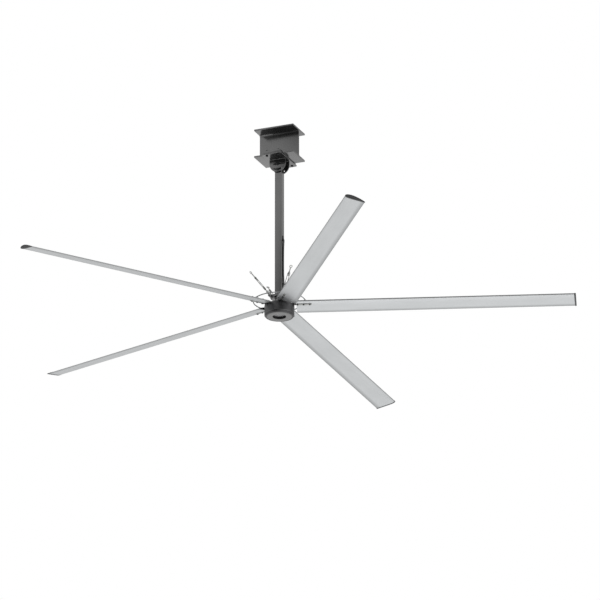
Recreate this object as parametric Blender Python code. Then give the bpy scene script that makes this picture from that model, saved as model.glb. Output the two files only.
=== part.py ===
"""High volume low speed ceiling fan on a square downrod, hung from a short length of H-beam.

Metres, +Z up. The origin is the centre of the beam's top face, X runs along the beam.
Run with: blender --background --python part.py, or from the text editor.
"""

import bmesh
import bpy
from math import acos, cos, pi, radians, sin, sqrt
from mathutils import Matrix, Vector

# Whole fan
FAN_RADIUS = 2.440
BLADE_COUNT = 5
FIRST_BLADE_ANGLE = radians(19)
PIVOT_TO_BLADES = 1.250

# Fits
SEAT = 0.0003
RUNNING = 0.0005
OVERRUN = 0.002
WELD = 0.001

# Beam
BEAM_LENGTH = 0.350
BEAM_HEIGHT = 0.250
BEAM_WIDTH = 0.250
BEAM_FLANGE = 0.014
BEAM_WEB = 0.009
BEAM_FILLET = 0.016

# Hanger bracket
BRACKET_LENGTH = 0.170
BRACKET_OVERHANG = 0.045
BRACKET_THICKNESS = 0.010
BRACKET_CORNER = 0.008
EAR_RADIUS = 0.072
EAR_THICKNESS = 0.008
EAR_SPACING = 0.076
PIVOT_DROP = 0.038
SLOT_RADIUS = 0.052
SLOT_SWING = radians(30)

# Beam clamps
CLAMP_LENGTH = 0.150
CLAMP_THICKNESS = 0.010
CLAMP_GRIP = 0.017
CLAMP_BOLT_SPACING = 0.104
CLAMP_BOLT_RADIUS = 0.006
CLAMP_BOLT_END = 0.006
CLAMP_BOLT_SHARE = 0.41

# Pivot and lock bolts
PIVOT_BOLT_RADIUS = 0.008
LOCK_BOLT_RADIUS = 0.006
BOLT_END = 0.005
HEAD_WIDTH_SHARE = 1.75
HEAD_HEIGHT_SHARE = 1.25
HEAD_TOP_SHARE = 0.93
HEAD_SIDE_SHARE = 0.85
NUT_WIDTH_SHARE = 1.8

# Downrod
TUBE_SIDE = 0.060
TUBE_WALL = 0.0035
TUBE_CORNER = 0.004
TUBE_ABOVE_PIVOT = 0.019
BASE_SIDE = 0.146
BASE_THICKNESS = 0.008
LUG_REACH = 0.0895
LUG_THICKNESS = 0.007
LUG_HOLE_RADIUS = 0.0046
LUG_RIM = 0.0055
LUG_ROOT = 0.030
LUG_TOE = 0.003
LUG_HEEL = 0.007
LUG_NOSE = radians(50)
FLANGE_STUD_CIRCLE = 0.052
FLANGE_STUD_RADIUS = 0.005

# Motor
DRUM_RADIUS = 0.124
DRUM_TOP = 0.003
DRUM_BOTTOM = -0.083
DRUM_WALL = 0.010
DRUM_TOP_WALL = 0.015
DRUM_EDGE = 0.005
DRUM_BEAD = 0.002
BEAD_DROP = 0.076
GROOVE_DEPTH = 0.005
GROOVE_HEIGHT = 0.0025
COVER_HEIGHT = 0.011
COVER_CHAMFER = 0.010
COVER_PLATE = 0.0045
SPIGOT_HEIGHT = 0.005
RECESS_RADIUS = 0.055
RECESS_DEPTH = 0.022
RECESS_WALL = 0.006
UPPER_BEARING = {"outer": 0.045, "inner": 0.030, "width": 0.016}
LOWER_BEARING = {"outer": 0.036, "inner": 0.020, "width": 0.012}
BEARING_WALL = 0.008
BEARING_RACE = 0.004
BEARING_SHIELD = 0.0015
BEARING_LIP = 0.005
SHAFT_BORE = 0.013
SHAFT_NECK = 0.037
SHAFT_RADIUS = 0.0285
MOTOR_FLANGE_RADIUS = 0.074
MOTOR_FLANGE_THICKNESS = 0.010
MOTOR_FLANGE_TOP = 0.076
MAGNET_THICKNESS = 0.006
MAGNET_HEIGHT = 0.046
AIR_GAP = 0.001
STATOR_HEIGHT = 0.028
STATOR_MIDDLE = -0.040
STATOR_SLOTS = 12
STATOR_YOKE = 0.078
SLOT_OPENING_SHARE = 0.18
SLOT_WIDTH_SHARE = 0.50
TOOTH_TIP = 0.004
WINDING_HEIGHT = 0.009
WINDING_INSET = 0.006

# Blade carrier
CARRIER_THICKNESS = 0.008
CARRIER_RADIUS = 0.106
CARRIER_BORE = 0.046
ARM_WIDTH = 0.042
ARM_THICKNESS = 0.013
ARM_ROOT = 0.088
ARM_FLAT_END = 0.127
ARM_TWIST_END = 0.138
ARM_TIP = 0.280
CARRIER_BOLT_REACH = 0.108
CARRIER_BOLT_RADIUS = 0.006

# Blades
CHORD = 0.168
BLADE_THICKNESS = 0.028
BLADE_CAMBER = 0.0055
CAMBER_SHARE = 0.45
BLADE_PITCH = radians(15)
BLADE_ROOT = 0.140
BLADE_WALL = 0.0022
TAIL_WALL = 0.0016
RADIAL_SHARE = 0.36
SPAR_SHARE = 0.24
CELL_SHARES = ((0.03, 0.085), (0.10, 0.42), (0.435, 0.86))
SPAR_CELL = 1
POLYNOMIAL_SHARES = (0.2969, -0.1260, -0.3516, 0.2843, -0.1036)
POLYNOMIAL_SCALE_SHARE = 5.0
CAP_THICKNESS = 0.006
CAP_PROUD = 0.0012
CAP_PLUG = 0.010
OUTLINE_STEPS = 8
CELL_STEPS = 2

# Blade fastenings
BLADE_BOLTS = (0.151, 0.201, 0.252)
BLADE_BOLT_RADIUS = 0.004
STRIP_START = 0.1415
STRIP_END = 0.267
STRIP_WIDTH = 0.018
STRIP_THICKNESS = 0.003
BOLT_STAND = 0.002

# Safety ring
RING_RADIUS = 0.214
RING_WIRE = 0.0045
RING_HEIGHT = 0.040
SADDLE_LENGTH = 0.014
SADDLE_WIDTH = 0.010

# Turnbuckles
TURNBUCKLE_TILT = radians(45)
TURNBUCKLE_ANGLES = tuple(radians(45 + 90 * quarter) for quarter in range(4))
BODY_START = 0.047
BODY_LENGTH = 0.135
BOSS_LENGTH = 0.022
BOSS_RADIUS = 0.008
SIDE_ROD_RADIUS = 0.0026
SIDE_ROD_SPACING = 0.0178
SCREW_RADIUS = 0.0048
SCREW_REACH = 0.026
EYE_DISTANCE = 0.231
EYE_RADIUS = 0.0105
EYE_WIRE = 0.0033
JAW_CHEEK = 0.004
JAW_WIDTH = 0.018
JAW_DEPTH = 0.024
JAW_BRIDGE = 0.006
JAW_PIN_RADIUS = 0.004

# Motor cable
CABLE_RADIUS = 0.0052
CABLE_OUT = 0.174
CABLE_IN = 0.596
CABLE_ACROSS = 0.003
CABLE_LOW_END = 0.035
CABLE_HIGH_END = 1.140
CABLE_BEND = 0.047
CABLE_RISE = 0.0245
CABLE_GLIDE = 0.070
CABLE_STEPS = 5
GROMMET_WIDTH = 0.024
GROMMET_HEIGHT = 0.048
GROMMET_LIP = 0.002
GROMMET_NECK = 0.0035
CABLE_HOLE_WIDTH = 0.014
CABLE_HOLE_HEIGHT = 0.038

# Worked out from the sizes above
PLATE_TOP = -BEAM_HEIGHT - SEAT
PLATE_BOTTOM = PLATE_TOP - BRACKET_THICKNESS
PIVOT_Z = PLATE_BOTTOM - PIVOT_DROP
BRACKET_WIDTH = BEAM_WIDTH + 2 * BRACKET_OVERHANG
CLAMP_BOLT_SIDE = BEAM_WIDTH / 2 + BRACKET_OVERHANG * CLAMP_BOLT_SHARE
HUB_IN_HANGER = -PIVOT_TO_BLADES
MOTOR_FLANGE_BOTTOM = MOTOR_FLANGE_TOP - MOTOR_FLANGE_THICKNESS
BASE_BOTTOM = MOTOR_FLANGE_TOP + SEAT
BASE_TOP = BASE_BOTTOM + BASE_THICKNESS
LUG_HOLE_Z = BASE_TOP + LUG_HOLE_RADIUS + LUG_RIM
SPAR_Z = (0.5 - SPAR_SHARE) * CHORD * sin(BLADE_PITCH)
SPAR_Y = (SPAR_SHARE - RADIAL_SHARE) * CHORD * cos(BLADE_PITCH)
RECESS_TOP = DRUM_BOTTOM - COVER_HEIGHT + RECESS_DEPTH
COVER_BOTTOM = DRUM_BOTTOM - COVER_HEIGHT
LOWER_SEAT = RECESS_TOP + COVER_PLATE
UPPER_SEAT = DRUM_TOP - BEARING_LIP
CAVITY_TOP = DRUM_TOP - DRUM_TOP_WALL
CAVITY_RADIUS = DRUM_RADIUS - DRUM_WALL
MAGNET_INNER = CAVITY_RADIUS - SEAT - MAGNET_THICKNESS
STATOR_RADIUS = MAGNET_INNER - AIR_GAP
CARRIER_BOTTOM = DRUM_TOP + SEAT
CARRIER_MIDDLE = CARRIER_BOTTOM + CARRIER_THICKNESS / 2
SLOT_HALF_WIDTH = LOCK_BOLT_RADIUS + RUNNING
STRIP_MIDDLE = (STRIP_START + STRIP_END) / 2
BLADE_HEAD = BLADE_BOLT_RADIUS * HEAD_HEIGHT_SHARE

# Facets round a circle
FINE = 30
MEDIUM = 16
COARSE = 8
FEW = 6
INNER = 15
RING_STEPS = 8 * BLADE_COUNT
EYE_STEPS = 12

# Directions: a flat outline is drawn in X and Y and drawn up along Z, then turned
ALONG_X = (radians(90), 0, radians(90))
ALONG_Y = (radians(90), 0, 0)


def clear_scene():
    for item in list(bpy.data.objects):
        bpy.data.objects.remove(item, do_unlink=True)


def material(name, colour, roughness, metallic):
    """A plain finish with one colour, roughness and metallic value."""
    made = bpy.data.materials.new(name)
    made.use_nodes = True
    shader = made.node_tree.nodes["Principled BSDF"]
    shader.inputs["Base Color"].default_value = (*colour, 1)
    shader.inputs["Roughness"].default_value = roughness
    shader.inputs["Metallic"].default_value = metallic
    return made


def make_materials():
    return {
        "painted_steel": material("painted_steel", (0.16, 0.16, 0.16), 0.55, 0.3),
        "cast_housing": material("cast_housing", (0.08, 0.08, 0.085), 0.5, 0.4),
        "blade_aluminium": material("blade_aluminium", (0.52, 0.53, 0.53), 0.4, 0.7),
        "dark_plastic": material("dark_plastic", (0.03, 0.03, 0.032), 0.6, 0.0),
        "zinc_steel": material("zinc_steel", (0.55, 0.56, 0.57), 0.35, 0.9),
        "black_steel": material("black_steel", (0.02, 0.02, 0.022), 0.5, 0.5),
        "cable_jacket": material("cable_jacket", (0.015, 0.015, 0.015), 0.6, 0.0),
        "bearing_steel": material("bearing_steel", (0.6, 0.6, 0.6), 0.25, 1.0),
        "copper_winding": material("copper_winding", (0.6, 0.25, 0.1), 0.45, 0.8),
        "core_steel": material("core_steel", (0.2, 0.2, 0.21), 0.5, 0.6),
        "rubber": material("rubber", (0.012, 0.012, 0.012), 0.85, 0.0),
        "wire_rope": material("wire_rope", (0.45, 0.45, 0.46), 0.4, 0.8),
    }


def add_empty(name, location, rotation=(0, 0, 0), parent=None):
    frame = bpy.data.objects.new(name, None)
    bpy.context.collection.objects.link(frame)
    frame.location = location
    frame.rotation_euler = rotation
    frame.parent = parent
    return frame


def add_object(name, bm, finish=None, location=(0, 0, 0), rotation=(0, 0, 0), parent=None):
    """Turn a bmesh into a placed object, with its round sides shaded smooth."""
    bmesh.ops.recalc_face_normals(bm, faces=bm.faces)
    mesh = bpy.data.meshes.new(name)
    bm.to_mesh(mesh)
    bm.free()
    mesh.shade_smooth()
    mesh.set_sharp_from_angle(angle=radians(35))
    made = bpy.data.objects.new(name, mesh)
    bpy.context.collection.objects.link(made)
    made.location = location
    made.rotation_euler = rotation
    made.parent = parent
    if finish:
        mesh.materials.append(finish)
    return made


def boolean(target, tool, operation="DIFFERENCE"):
    """Cut a hidden tool out of a piece, or weld it on."""
    step = target.modifiers.new(tool.name, "BOOLEAN")
    step.operation = operation
    step.object = tool
    tool.hide_render = True
    tool.display_type = "WIRE"
    return target


def circle(radius, steps, centre=(0, 0), turn=0.0):
    angles = (turn + 2 * pi * step / steps for step in range(steps))
    return [(centre[0] + radius * cos(angle), centre[1] + radius * sin(angle)) for angle in angles]


def hexagon(radius, centre=(0, 0)):
    """A nut or bolt head for a shank of this radius, across the corners."""
    return circle(radius * NUT_WIDTH_SHARE, FEW, centre, radians(30))


def arc(radius, start, end, steps, centre=(0, 0)):
    angles = (start + (end - start) * step / steps for step in range(steps + 1))
    return [(centre[0] + radius * cos(angle), centre[1] + radius * sin(angle)) for angle in angles]


def rectangle(width, height, corner=0.0, steps=2, centre=(0, 0)):
    """A rectangle with rounded corners, anticlockwise."""
    if corner == 0:
        signs = ((-1, -1), (1, -1), (1, 1), (-1, 1))
        return [(centre[0] + sx * width / 2, centre[1] + sy * height / 2) for sx, sy in signs]
    points = []
    for quarter, (sx, sy) in enumerate(((1, 1), (-1, 1), (-1, -1), (1, -1))):
        middle = (centre[0] + sx * (width / 2 - corner), centre[1] + sy * (height / 2 - corner))
        points += arc(corner, quarter * pi / 2, (quarter + 1) * pi / 2, steps, middle)
    return points


def prism_mesh(outlines, start, end):
    """Draw a flat outline, with any holes in it, up along Z from start to end."""
    bm = bmesh.new()
    edges = []
    for outline in outlines:
        corners = [bm.verts.new((x, y, start)) for x, y in outline]
        for index, corner in enumerate(corners):
            edges.append(bm.edges.new((corner, corners[(index + 1) % len(corners)])))
    filled = bmesh.ops.triangle_fill(bm, edges=edges, use_beauty=True)
    faces = [item for item in filled["geom"] if isinstance(item, bmesh.types.BMFace)]
    drawn = bmesh.ops.extrude_face_region(bm, geom=faces, use_keep_orig=True)
    moved = [item for item in drawn["geom"] if isinstance(item, bmesh.types.BMVert)]
    bmesh.ops.translate(bm, verts=moved, vec=(0, 0, end - start))
    return bm


def revolve_mesh(profile, steps=FINE):
    """Turn a closed profile of radius and height once round Z."""
    bm = bmesh.new()
    corners = [bm.verts.new((r, 0, z)) for r, z in profile]
    edges = [bm.edges.new((a, b)) for a, b in zip(corners, corners[1:])]
    if profile[0][0] > 0 or profile[-1][0] > 0:
        edges.append(bm.edges.new((corners[-1], corners[0])))
    bmesh.ops.spin(bm, geom=corners + edges, cent=(0, 0, 0), axis=(0, 0, 1), dvec=(0, 0, 0),
                   angle=2 * pi, steps=steps, use_merge=True)
    bmesh.ops.remove_doubles(bm, verts=bm.verts, dist=SEAT / 10)
    return bm


def loft_mesh(sections):
    """Skin a row of matching closed sections and close both ends."""
    bm = bmesh.new()
    rows = [[bm.verts.new(point) for point in section] for section in sections]
    count = len(rows[0])
    for near, far in zip(rows, rows[1:]):
        for index in range(count):
            after = (index + 1) % count
            bm.faces.new((near[index], near[after], far[after], far[index]))
    bm.faces.new(rows[0])
    bm.faces.new(rows[-1])
    return bm


def pipe_mesh(outside, inside, stations):
    """A straight pipe along Z with a ring of edges at each station, open right through."""
    bm = bmesh.new()
    walls = []
    for outline in (outside, inside):
        walls.append([[bm.verts.new((x, y, z)) for x, y in outline] for z in stations])
    count = len(outside)
    for rows in walls:
        for near, far in zip(rows, rows[1:]):
            for index in range(count):
                after = (index + 1) % count
                bm.faces.new((near[index], near[after], far[after], far[index]))
    outer, inner = walls
    for level in (0, -1):
        for index in range(count):
            after = (index + 1) % count
            bm.faces.new((outer[level][index], outer[level][after],
                          inner[level][after], inner[level][index]))
    return bm


def ring_mesh(radius, wire, steps, sides):
    """A round wire bent into a ring about Z."""
    return revolve_mesh([(radius + x, y) for x, y in circle(wire, sides)], steps)


def tool(name, bm, **place):
    return add_object(name + "_tool", bm, **place)


# Beam and hanger


def build_beam(finish):
    """The H section with its rolled fillets, drawn out along X."""
    half, web = BEAM_WIDTH / 2, BEAM_WEB / 2
    top, inside = 0.0, -BEAM_FLANGE
    quarter = []
    for x, y in arc(BEAM_FILLET, pi / 2, pi, 4, (web + BEAM_FILLET, inside - BEAM_FILLET)):
        quarter.append((x, y))
    upper = [(half, top), (half, inside)] + quarter
    right = upper + [(x, -BEAM_HEIGHT - y) for x, y in reversed(upper)]
    outline = right + [(-x, y) for x, y in reversed(right)]
    bm = prism_mesh([outline], -BEAM_LENGTH / 2, BEAM_LENGTH / 2)
    return add_object("beam_stub", bm, finish, rotation=ALONG_X)


def ear_outline():
    """A round-ended ear whose straight sides run up into the plate."""
    return arc(EAR_RADIUS, pi, 2 * pi, 16) + [
        (EAR_RADIUS, PIVOT_DROP + WELD),
        (-EAR_RADIUS, PIVOT_DROP + WELD),
    ]


def slot_outline(radius, half_width, swing):
    """An arc-shaped slot below the pivot, with round ends."""
    low, high = -pi / 2 - swing, -pi / 2 + swing
    outer = arc(radius + half_width, low, high, 10)
    inner = arc(radius - half_width, high, low, 10)
    high_end = (radius * cos(high), radius * sin(high))
    low_end = (radius * cos(low), radius * sin(low))
    round_high = arc(half_width, high, high + pi, 6, high_end)[1:-1]
    round_low = arc(half_width, low + pi, low + 2 * pi, 6, low_end)[1:-1]
    return outer + round_high + inner + round_low


def clamp_bolt_places():
    half = CLAMP_BOLT_SPACING / 2
    return [(sx * half, sy * CLAMP_BOLT_SIDE) for sx in (-1, 1) for sy in (-1, 1)]


def build_bracket(finish):
    """The plate under the beam with two slotted ears welded below it."""
    plate = rectangle(BRACKET_LENGTH, BRACKET_WIDTH, BRACKET_CORNER)
    holes = [circle(CLAMP_BOLT_RADIUS + RUNNING, COARSE, place) for place in clamp_bolt_places()]
    bm = prism_mesh([plate] + holes, PLATE_BOTTOM, PLATE_TOP)
    bracket = add_object("hanger_bracket", bm, finish)
    slot = slot_outline(SLOT_RADIUS, SLOT_HALF_WIDTH, SLOT_SWING)
    pivot_hole = circle(PIVOT_BOLT_RADIUS + RUNNING, MEDIUM)
    for side, name in ((-1, "near_ear"), (1, "far_ear")):
        ear = prism_mesh([ear_outline(), pivot_hole, slot], -EAR_THICKNESS / 2, EAR_THICKNESS / 2)
        place = (0, side * EAR_SPACING / 2, PIVOT_Z)
        boolean(bracket, tool(name, ear, location=place, rotation=ALONG_Y), "UNION")
    return bracket


def build_clamps(finish, bolt_finish):
    """Stepped bars that grip the flange's edges, each drawn down by two bolts."""
    step = BEAM_FLANGE + SEAT
    outer = BRACKET_WIDTH / 2
    inner = BEAM_WIDTH / 2 - CLAMP_GRIP
    edge = BEAM_WIDTH / 2 + SEAT
    base = PLATE_TOP + SEAT
    face = -BEAM_HEIGHT + step
    top = face + CLAMP_THICKNESS
    outline = [(inner, face), (edge, face), (edge, base), (outer, base), (outer, top), (inner, top)]
    for side, name in ((-1, "near"), (1, "far")):
        section = [(side * y, z) for y, z in outline]
        bar = prism_mesh([section], -CLAMP_LENGTH / 2, CLAMP_LENGTH / 2)
        clamp = add_object(f"beam_clamp_{name}", bar, finish, rotation=ALONG_X)
        for index, (x, y) in enumerate(clamp_bolt_places()):
            if y * side > 0:
                hole = circle(CLAMP_BOLT_RADIUS + RUNNING, COARSE, (x, y))
                cutter = prism_mesh([hole], base - OVERRUN, top + OVERRUN)
                boolean(clamp, tool(f"clamp_hole_{index}", cutter))
    for index, (x, y) in enumerate(clamp_bolt_places()):
        bolt = bolt_mesh(CLAMP_BOLT_RADIUS, PLATE_BOTTOM - SEAT, top + SEAT, CLAMP_BOLT_END)
        add_object(f"clamp_bolt_{index + 1}", bolt, bolt_finish, location=(x, y, 0))


def bolt_profile(radius, start, end, beyond, nut=True):
    """Head, shank, and a nut with the thread's end beyond it, as radius and height."""
    wide, head = radius * HEAD_WIDTH_SHARE, radius * HEAD_HEIGHT_SHARE
    points = [(0, start - head), (wide * HEAD_TOP_SHARE, start - head)]
    points += [(wide, start - head * HEAD_SIDE_SHARE), (wide, start), (radius, start)]
    if nut:
        points += [(radius, end), (wide, end), (wide, end + head), (radius, end + head)]
        end += head
    return points + [(radius, end + beyond), (0, end + beyond)]


def bolt_mesh(radius, start, end, beyond, nut=True):
    """A bolt along Z from the seat of its head at start to the seat of its nut at end."""
    return revolve_mesh(bolt_profile(radius, start, end, beyond, nut), COARSE)


def nut_mesh(radius, start):
    end = start + radius * HEAD_HEIGHT_SHARE
    return prism_mesh([hexagon(radius), circle(radius + SEAT, COARSE)], start, end)


def build_pivot_bolts(finish, hanger):
    """The pivot bolt stays with the ears, and the lock bolt moves with the downrod."""
    outside = EAR_SPACING / 2 + EAR_THICKNESS / 2 + SEAT
    bolts = (
        ("pivot", PIVOT_BOLT_RADIUS, (0, 0, PIVOT_Z), None),
        ("lock", LOCK_BOLT_RADIUS, (0, 0, -SLOT_RADIUS), hanger),
    )
    for name, radius, place, parent in bolts:
        beyond = radius * HEAD_HEIGHT_SHARE + BOLT_END
        bolt = bolt_mesh(radius, -outside, outside, beyond, nut=False)
        options = {"location": place, "rotation": (radians(-90), 0, 0), "parent": parent}
        add_object(f"{name}_bolt", bolt, finish, **options)
        add_object(f"{name}_nut", nut_mesh(radius, outside), finish, **options)


# Downrod with its base plate and guy lugs


def cable_hole_outline(extra=0.0):
    return rectangle(CABLE_HOLE_WIDTH + extra, CABLE_HOLE_HEIGHT + extra,
                     (CABLE_HOLE_WIDTH + extra) / 2 - SEAT)


def grommet_neck_outline(extra=0.0):
    return cable_hole_outline(GROMMET_NECK + extra)


def lug_outline():
    """A round-nosed lug whose foot stands on the base plate."""
    rim = LUG_HOLE_RADIUS + LUG_RIM
    foot = BASE_TOP - WELD - LUG_HOLE_Z
    nose = arc(rim, -LUG_NOSE, pi / 2, FEW)
    return nose + [(-rim, rim), (-LUG_ROOT, foot + LUG_TOE), (-LUG_ROOT, foot), (LUG_HEEL, foot)]


def build_downrod(finish, hub, hanger):
    """A square tube welded to a base plate, with four lugs standing at the corners."""
    top = PIVOT_TO_BLADES + TUBE_ABOVE_PIVOT
    outside = rectangle(TUBE_SIDE, TUBE_SIDE, TUBE_CORNER)
    bore_side = TUBE_SIDE - 2 * TUBE_WALL
    bore = rectangle(bore_side, bore_side, TUBE_CORNER - TUBE_WALL)
    lock_z = PIVOT_TO_BLADES - SLOT_RADIUS
    stations = [BASE_TOP - WELD]
    stations += [height + way * GROMMET_HEIGHT for height in (CABLE_OUT, CABLE_IN) for way in (-1, 1)]
    stations += [lock_z - SLOT_RADIUS / 2, lock_z + SLOT_RADIUS / 2, top]
    tube = pipe_mesh(outside, bore, stations)
    downrod = add_object("downrod", tube, finish, parent=hub)
    reach = TUBE_SIDE / 2 + OVERRUN
    pivot_way = circle(PIVOT_BOLT_RADIUS + RUNNING, MEDIUM)
    lock_way = circle(LOCK_BOLT_RADIUS + RUNNING, MEDIUM, (0, -SLOT_RADIUS))
    bolt_cutter = prism_mesh([pivot_way, lock_way], -reach, reach)
    boolean(downrod, tool("bolt_ways", bolt_cutter, rotation=ALONG_Y, parent=hanger))
    neck = grommet_neck_outline(2 * RUNNING)
    necks = [[(x, y + height) for x, y in neck] for height in (CABLE_OUT, CABLE_IN)]
    cable_cutter = prism_mesh(necks, TUBE_SIDE / 4, reach)
    place = {"location": (0, CABLE_ACROSS, 0), "rotation": ALONG_X, "parent": hub}
    boolean(downrod, tool("cable_ways", cable_cutter, **place))
    studs = [circle(FLANGE_STUD_RADIUS + RUNNING, COARSE, place) for place in stud_places()]
    cable_way = circle(SHAFT_BORE, MEDIUM)
    plate = rectangle(BASE_SIDE, BASE_SIDE, TUBE_CORNER)
    base = prism_mesh([plate, cable_way] + studs, BASE_BOTTOM, BASE_TOP)
    boolean(downrod, tool("base_plate", base, parent=hub), "UNION")
    hole = circle(LUG_HOLE_RADIUS, COARSE)
    for index, angle in enumerate(TURNBUCKLE_ANGLES):
        lug = prism_mesh([lug_outline(), hole], -LUG_THICKNESS / 2, LUG_THICKNESS / 2)
        place = (LUG_REACH * cos(angle), LUG_REACH * sin(angle), LUG_HOLE_Z)
        turned = (radians(90), 0, angle)
        boolean(downrod, tool(f"lug_{index}", lug, location=place, rotation=turned, parent=hub), "UNION")
    return downrod


def stud_places():
    return circle(FLANGE_STUD_CIRCLE, 4)


def build_grommets(finish, hub):
    """Oval rubber grommets that line the two cable holes in the tube's side."""
    wall_inside = TUBE_SIDE / 2 - TUBE_WALL
    lip_start = TUBE_SIDE / 2 + SEAT
    for name, height in (("lower", CABLE_OUT), ("upper", CABLE_IN)):
        place = {"location": (0, CABLE_ACROSS, height), "rotation": ALONG_X, "parent": hub}
        lip = rectangle(GROMMET_WIDTH, GROMMET_HEIGHT, GROMMET_WIDTH / 2 - SEAT)
        lip_mesh = prism_mesh([lip, cable_hole_outline()], lip_start, lip_start + GROMMET_LIP)
        grommet = add_object(f"cable_grommet_{name}", lip_mesh, finish, **place)
        neck = prism_mesh([grommet_neck_outline(), cable_hole_outline()], wall_inside, lip_start + WELD)
        boolean(grommet, tool(f"neck_{name}", neck, **place), "UNION")


def cable_bends(bulge, hole, way):
    """Two even bends one after the other, from the tube's middle out through its side."""
    turned = acos(1 - bulge / (2 * CABLE_BEND))
    top = hole + way * CABLE_RISE
    low = top - way * 2 * CABLE_BEND * sin(turned)
    angles = [turned * index / CABLE_STEPS for index in range(CABLE_STEPS + 1)]
    places = [(CABLE_BEND * (1 - cos(a)), low + way * CABLE_BEND * sin(a)) for a in angles]
    places += [(bulge - CABLE_BEND * (1 - cos(a)), top - way * CABLE_BEND * sin(a)) for a in angles[-2::-1]]
    return [Vector((out, CABLE_ACROSS * out / bulge, z)) for out, z in places]


def cable_route():
    """Up out of the shaft, through the side of the tube, along its face and in again."""
    lying = TUBE_SIDE / 2 + CABLE_RADIUS + RUNNING
    bulge = lying + GROMMET_LIP + 2 * RUNNING
    glide = CABLE_RISE + CABLE_GLIDE
    route = [Vector((0, 0, CABLE_LOW_END))]
    route += cable_bends(bulge, CABLE_OUT, 1)
    route += [Vector((lying, CABLE_ACROSS, z)) for z in (CABLE_OUT + glide, CABLE_IN - glide)]
    route += cable_bends(bulge, CABLE_IN, -1)[::-1]
    return route + [Vector((0, 0, CABLE_HIGH_END))]


def build_cable(finish, hub):
    """The motor cable as one tube with closed ends."""
    curve = bpy.data.curves.new("motor_cable", "CURVE")
    curve.dimensions = "3D"
    curve.bevel_depth = CABLE_RADIUS
    curve.bevel_resolution = 2
    curve.use_fill_caps = True
    points = cable_route()
    spline = curve.splines.new("POLY")
    spline.points.add(len(points) - 1)
    for place, point in zip(spline.points, points):
        place.co = (*point, 1)
    cable = bpy.data.objects.new("motor_cable", curve)
    bpy.context.collection.objects.link(cable)
    cable.parent = hub
    curve.materials.append(finish)
    return cable


# Motor: a fixed shaft and stator inside a turning drum


def seat_radius(bore):
    """A seat that stays inside the bearing's flat-sided bore as it turns."""
    return bore * cos(pi / MEDIUM) - SEAT


def build_shaft(finish, hub):
    """A hollow stepped shaft that carries the stator, with its flange and four studs on top."""
    low = LOWER_SEAT + SEAT
    low_seat = seat_radius(LOWER_BEARING["inner"])
    high_seat = seat_radius(UPPER_BEARING["inner"])
    low_step = LOWER_SEAT + LOWER_BEARING["width"]
    high_step = UPPER_SEAT - UPPER_BEARING["width"]
    profile = [
        (SHAFT_BORE, low),
        (low_seat, low),
        (low_seat, low_step),
        (SHAFT_RADIUS, low_step),
        (SHAFT_RADIUS, high_step),
        (high_seat, high_step),
        (high_seat, UPPER_SEAT + SEAT),
        (SHAFT_NECK, UPPER_SEAT + SEAT),
        (SHAFT_NECK, MOTOR_FLANGE_BOTTOM),
        (MOTOR_FLANGE_RADIUS, MOTOR_FLANGE_BOTTOM),
        (MOTOR_FLANGE_RADIUS, MOTOR_FLANGE_TOP),
        (SHAFT_BORE, MOTOR_FLANGE_TOP),
    ]
    shaft = add_object("motor_shaft", revolve_mesh(profile, MEDIUM), finish, parent=hub)
    for index, (x, y) in enumerate(stud_places()):
        stud = bolt_mesh(FLANGE_STUD_RADIUS, MOTOR_FLANGE_TOP - WELD, BASE_TOP + SEAT, BOLT_END)
        place = {"location": (x, y, 0), "parent": hub}
        boolean(shaft, tool(f"flange_stud_{index}", stud, **place), "UNION")


def stator_outline():
    """A ring of teeth with narrow slot mouths, seen from above."""
    pitch = 2 * pi / STATOR_SLOTS
    mouth, slot = pitch * SLOT_OPENING_SHARE / 2, pitch * SLOT_WIDTH_SHARE / 2
    neck = STATOR_RADIUS - TOOTH_TIP
    corners = (
        (STATOR_RADIUS, -mouth), (neck, -mouth), (neck, -slot), (STATOR_YOKE, -slot),
        (STATOR_YOKE, slot), (neck, slot), (neck, mouth), (STATOR_RADIUS, mouth),
        (STATOR_RADIUS, pitch / 2),
    )
    points = []
    for tooth in range(STATOR_SLOTS):
        for radius, angle in corners:
            turned = tooth * pitch + angle
            points.append((radius * cos(turned), radius * sin(turned)))
    return points


def build_stator(finish, winding_finish, hub):
    """The laminated core, with the coils' end turns as a rounded ring on each face."""
    low = STATOR_MIDDLE - STATOR_HEIGHT / 2
    high = STATOR_MIDDLE + STATOR_HEIGHT / 2
    bore = circle(SHAFT_RADIUS + SEAT, FINE)
    add_object("stator_core", prism_mesh([stator_outline(), bore], low, high), finish, parent=hub)
    inner = STATOR_YOKE + SEAT
    outer = STATOR_RADIUS - WINDING_INSET
    crown = WINDING_HEIGHT / 2
    for name, base, way in (("lower", low - SEAT, -1), ("upper", high + SEAT, 1)):
        profile = [(inner, base), (outer, base), (outer, base + way * crown)]
        profile += [(outer - crown, base + way * WINDING_HEIGHT)]
        profile += [(inner + crown, base + way * WINDING_HEIGHT), (inner, base + way * crown)]
        add_object(f"winding_{name}", revolve_mesh(profile, INNER), winding_finish, parent=hub)


def bearing_profile(sizes, start):
    """A sealed bearing: two races with the shield set back between them."""
    inner, outer, end = sizes["inner"], sizes["outer"] - SEAT, start + sizes["width"] - SEAT
    low, high = start + BEARING_SHIELD, end - BEARING_SHIELD
    inside, outside = inner + BEARING_RACE, outer - BEARING_RACE
    return [
        (inner, start), (inside, start), (inside, low), (outside, low), (outside, start),
        (outer, start), (outer, end), (outside, end), (outside, high), (inside, high),
        (inside, end), (inner, end),
    ]


def build_bearings(finish, rotor):
    upper_start = UPPER_SEAT - UPPER_BEARING["width"]
    places = (("upper", UPPER_BEARING, upper_start), ("lower", LOWER_BEARING, LOWER_SEAT + SEAT))
    for name, sizes, start in places:
        profile = bearing_profile(sizes, start)
        add_object(f"bearing_{name}", revolve_mesh(profile, MEDIUM), finish, parent=rotor)


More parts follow.
